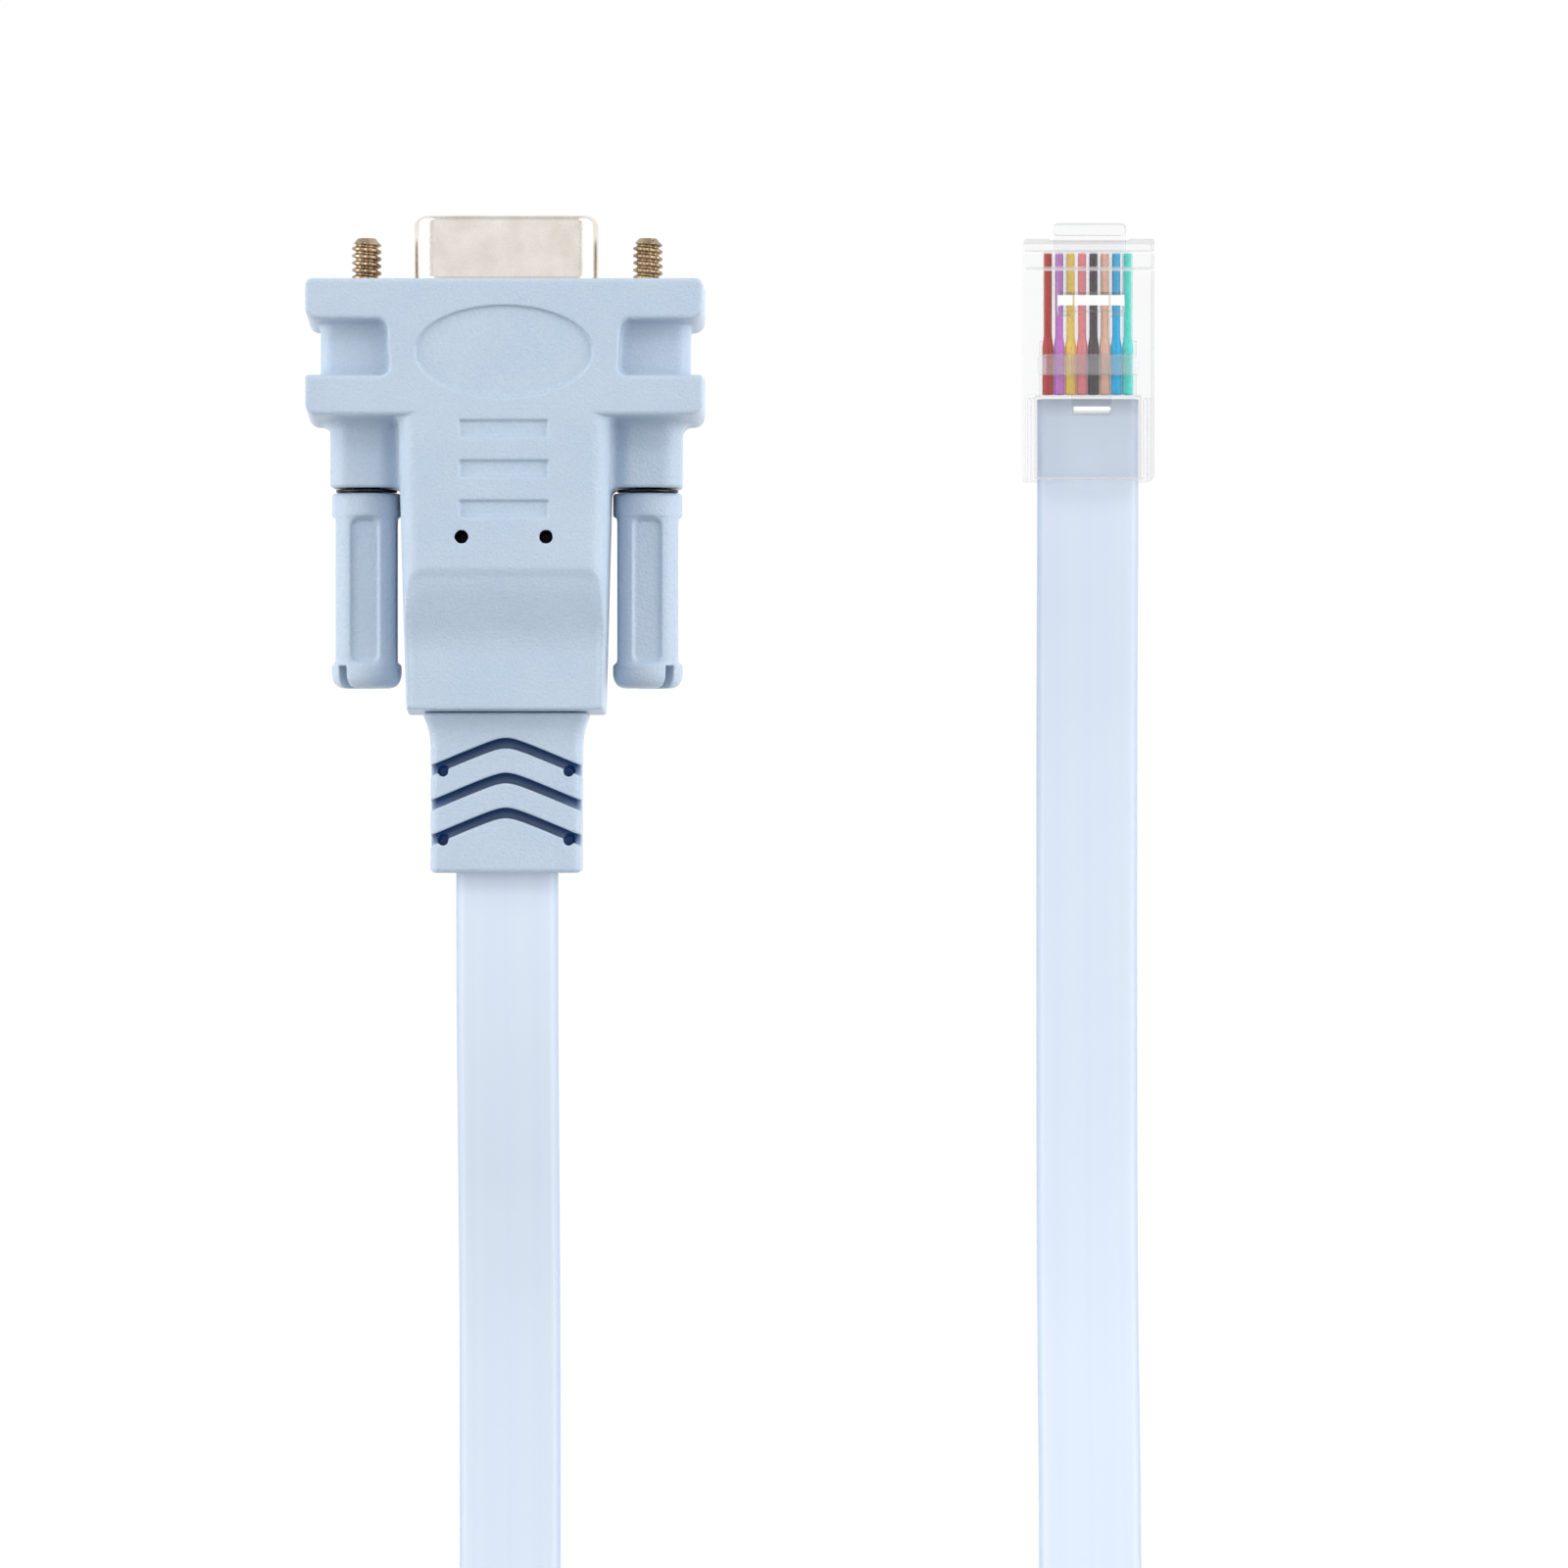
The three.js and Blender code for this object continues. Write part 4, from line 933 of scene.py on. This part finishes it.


# Painted highlights on the housing: white painted on the crimp window, the lines across the front, and the
# rear edge.
def plugHighlights(x, y, z):
    p = named(plugShape)
    side, d = abs(x - p.x), p.front - y
    window = abs(d - p.crimpStart - p.crimpLength / 2) < 0.9
    window = window & (side < p.crimpHalf) & (z > 3.8) & (z < 6.4)
    end = (d > p.length - 0.12) & (z > 5.5)
    lines = (abs(d[:, None] - np.array(p.frontLines)) < 0.16).any(axis=1) & (z > 6.15)
    return np.maximum(highlightStrength["window"] * window, highlightStrength["lines"] * (end | lines))


mark(plug, "paintedHighlight", plugHighlights)

latchShape = {"pivotBack": 0.6, "pivotZ": 6.9, "angle": 13.0, "noseHalf": 3.2, "noseFront": 1.9,
              "noseBack": 0.9, "noseDrop": 1.6, "thickness": 0.9, "half": 2.95, "stopStart": 5.0,
              "stopEnd": 6.65, "stopHeight": 1.3, "tailHalf": 1.75, "length": 15.8, "lip": 0.55,
              "lipHeight": 0.35, "barGap": 1.62}


# From the latch's pivot: sideways, forward, up, and back along and up from the leaning lever.
def latchPlace(x, y, z):
    s = named(latchShape)
    f, h = y - (plugShape["front"] - s.pivotBack), z - s.pivotZ
    c, n = math.cos(math.radians(s.angle)), math.sin(math.radians(s.angle))
    return abs(x - plugShape["x"]), f, h, -(f * c - h * n), f * n + h * c


# A nose and a level bridge in front, then a leaning lever with a stop, a narrower tail and a lip.
def latchField(x, y, z):
    s = named(latchShape)
    side, f, h, back, rise = latchPlace(x, y, z)
    level, raised = between(h, 0, s.thickness), between(rise, 0, s.thickness)
    low, high = between(h, -s.noseDrop, s.thickness), between(rise, 0, s.thickness + s.stopHeight)
    nose = block(side - s.noseHalf, between(f, s.noseBack, s.noseFront), 0.4, low, 0.2)
    bridge = block(side - s.noseHalf, between(f, -0.6, s.noseFront - 0.2), 0.3, level, 0.2)
    lever = block(side - s.half, between(back, -0.2, s.stopEnd), 0.35, raised, 0.18)
    stop = block(side - s.half, between(back, s.stopStart, s.stopEnd), 0.2, high, 0.18)
    tail = block(side - s.tailHalf, between(back, s.stopStart, s.length), 0.5, raised, 0.18)
    lip = block(side - s.tailHalf, between(back, s.length - s.lip, s.length), 0.2,
                between(rise, 0, s.thickness + s.lipHeight), 0.15)
    solid = roundEither(roundEither(nose, bridge, 0.2), lever, 0.3)
    return roundEither(roundEither(roundEither(solid, stop, 0.15), tail, 0.3), lip, 0.1)


latch = skin("plugLatchClear", latchField, (48.2, 10.6, 5.0), (55.4, 29.1, 13.2), 0.14, polycarbonate)


# Painted highlights on the latch: white painted on the tops of its shoulder bars and the lip at its end.
def latchHighlights(x, y, z):
    s = named(latchShape)
    side, _, _, back, rise = latchPlace(x, y, z)
    gap = abs(side - s.barGap) < 0.08
    bars = (abs(back - (s.stopStart + s.stopEnd) / 2) < 0.5) & (rise > s.thickness + 0.9) & ~gap
    lip = (back > s.length - 0.5) & (side < s.tailHalf - 0.12) & (rise > s.thickness - 0.2)
    return highlightStrength["latch"] * (bars | lip)


mark(latch, "paintedHighlight", latchHighlights)

wireColours = {"brownRed": (186, 58, 46), "purple": (206, 126, 216), "yellow": (252, 214, 88),
               "pinkRed": (252, 144, 150), "black": (70, 62, 70), "peach": (254, 200, 172),
               "blue": (20, 190, 246), "teal": (90, 230, 216)}
wireShape = {"start": 1.0, "end": 13.8, "slim": 0.36, "swell": 0.14, "swellBefore": 0.6, "swellOver": 1.2}


# A wire: a round section carried straight back; it is slimmer where the ribs hold it.
def wire(number, word):
    p, s = named(plugShape), named(wireShape)
    first, last = s.start, s.end
    middle = np.linspace(first + 0.2, last - 0.2, 40)
    d = np.concatenate([[first, first, first + 0.06], middle, [last - 0.05, last]])[:, None]
    slim = s.slim + s.swell * smooth((d - p.spread + s.swellBefore) / s.swellOver)
    slim[0], slim[1] = 0.001, 0.25
    slim[-1] = 0.001
    a = np.linspace(0, 2 * np.pi, 20, endpoint=False)[None, :]
    x = p.x + (number - 3.5) * p.pitch
    verts = np.stack([x + slim * np.cos(a), p.front - d + 0 * a, p.coreZ + slim * np.sin(a)], -1)
    insulation = plainPlastic(word + "Insulation", srgb(*wireColours[word]), 0.38)
    return recalculated(newPiece(word + "Wire", verts, [gridFaces(len(d), a.shape[1])], insulation))


wires = [wire(number, word) for number, word in enumerate(wireColours)]
print("plug made")

# Which body each piece rides on, and which CAD node it stands for
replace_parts(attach(flatCable, "connector"),
            "cable_from_hood", "cable_coil", "cable_to_plug")
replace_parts(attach(strapTie, "connector"), "coil_tie")
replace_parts(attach(hood, "connector"), "hood")
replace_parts(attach(relief, "connector"), "strain_relief")
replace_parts(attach(shell, "connector"), "dsub_shell")
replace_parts(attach(plate, "connector"), "dsub_shell")
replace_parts(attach(insulator, "connector"), "insulator")
for number, piece in enumerate(contacts, 1):
    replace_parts(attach(piece, "connector"), f"socket_contact_{number}")
for word in ("left", "right"):
    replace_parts(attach(grips[word], "thumbscrew_" + word), "grip_" + word)
    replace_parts(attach(screws[word], "thumbscrew_" + word), "jackscrew_" + word)
    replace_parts(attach(washers[word], "washer_" + word), "washer_" + word)
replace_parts(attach(plug, "connector"), "plug_housing")
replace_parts(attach(latch, "latch"), "plug_latch")
wireSlots = ("brown_red", "purple", "yellow", "pink_red", "black", "peach", "blue", "teal")
for number, (piece, word) in enumerate(zip(wires, wireSlots), 1):
    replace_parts(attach(piece, "connector"), f"wire_{number}")
for number in range(1, 9):
    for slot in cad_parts[f"plug_contact_{number}"].material_slots:
        slot.material = contactGold

# The sky is a light tent: a bright top, brighter sides and far end. A dark gap round the top and
# a dark band low round the horizon show as lines in the metal. Lights and floor are in metres.
lighting = {"base": 0.15, "top": 0.80, "topFocus": 6.0, "sides": 1.4, "lowSides": 2.9, "far": 0.62,
            "dimmest": 0.06, "band": 0.85, "bandHeight": 0.11, "bandWidth": 0.09, "gap": 0.5,
            "gapHeight": 0.88, "gapWidth": 0.05, "key": 0.35, "keySize": 0.12, "keyAim": (0.02, -0.02, 0),
            "keyLeft": (-0.30, 0.52, 0.60), "keyRight": (0.42, 0.50, 0.60), "paper": 1.03}


# A square soft light that faces the place at which both lights aim.
def softLight(name):
    data = bpy.data.lights.new(name, "AREA")
    data.shape, data.size, data.energy = "SQUARE", lighting["keySize"], lighting["key"]
    light = bpy.data.objects.new(name, data)
    light.location = lighting[name]
    towards = np.subtract(lighting["keyAim"], lighting[name])
    towards /= np.linalg.norm(towards)
    light.rotation_euler = (math.acos(-towards[2]), 0, math.atan2(towards[1], towards[0]) - math.pi / 2)
    scene.collection.objects.link(light)


softLight("keyLeft")
softLight("keyRight")

sky = named(lighting)
tent = Finish("studio", bpy.data.worlds.new("studio"))
direction = tent.add("ShaderNodeTexCoord", output="Generated")
sideways, farther, upward = (tent.add("ShaderNodeSeparateXYZ", {}, {"Vector": direction}, output=axis)
                             for axis in "XYZ")


# 1 at a height on the sky, falling to 0 a width away from it
def ringAt(height, width):
    return 1.0 - ((upward - height).math("ABSOLUTE") / width).limit(0.0, 1.0)


squared = sideways * sideways
glow = squared * (squared * sky.lowSides + sky.sides) + farther * sky.far + sky.base
glow = glow + upward.math("MAXIMUM", 0.0).math("POWER", sky.topFocus) * sky.top
glow = glow * (1.0 - ringAt(sky.bandHeight, sky.bandWidth) * sky.band)
glow = glow * (1.0 - ringAt(sky.gapHeight, sky.gapWidth) * sky.gap)
glow = glow.math("MAXIMUM", sky.dimmest)
backdrop = tent.add("ShaderNodeBackground", {}, {"Color": (1, 1, 1, 1), "Strength": glow})
tent.add("ShaderNodeOutputWorld", {}, {"Surface": backdrop})
scene.world = tent.owner

# White paper that glows, so no shadow falls on it.
floorSize = 2.0
floorMesh = bpy.data.meshes.new("floor")
floorMesh.from_pydata([(-floorSize, -floorSize, 0), (floorSize, -floorSize, 0), (floorSize, floorSize, 0),
                       (-floorSize, floorSize, 0)], [], [(0, 1, 2, 3)])
floor = bpy.data.objects.new("floor", floorMesh)
floor.location.z = -0.0002
scene.collection.objects.link(floor)
paper = Finish("whitePaper")
floorMesh.materials.append(paper.finishWith(paper.add("ShaderNodeBsdfPrincipled", {}, {
    "Base Color": (0.0, 0.0, 0.0, 1.0), "Roughness": 1.0, "Specular IOR Level": 0.0,
    "Emission Color": (1.0, 1.0, 1.0, 1.0), "Emission Strength": sky.paper})))
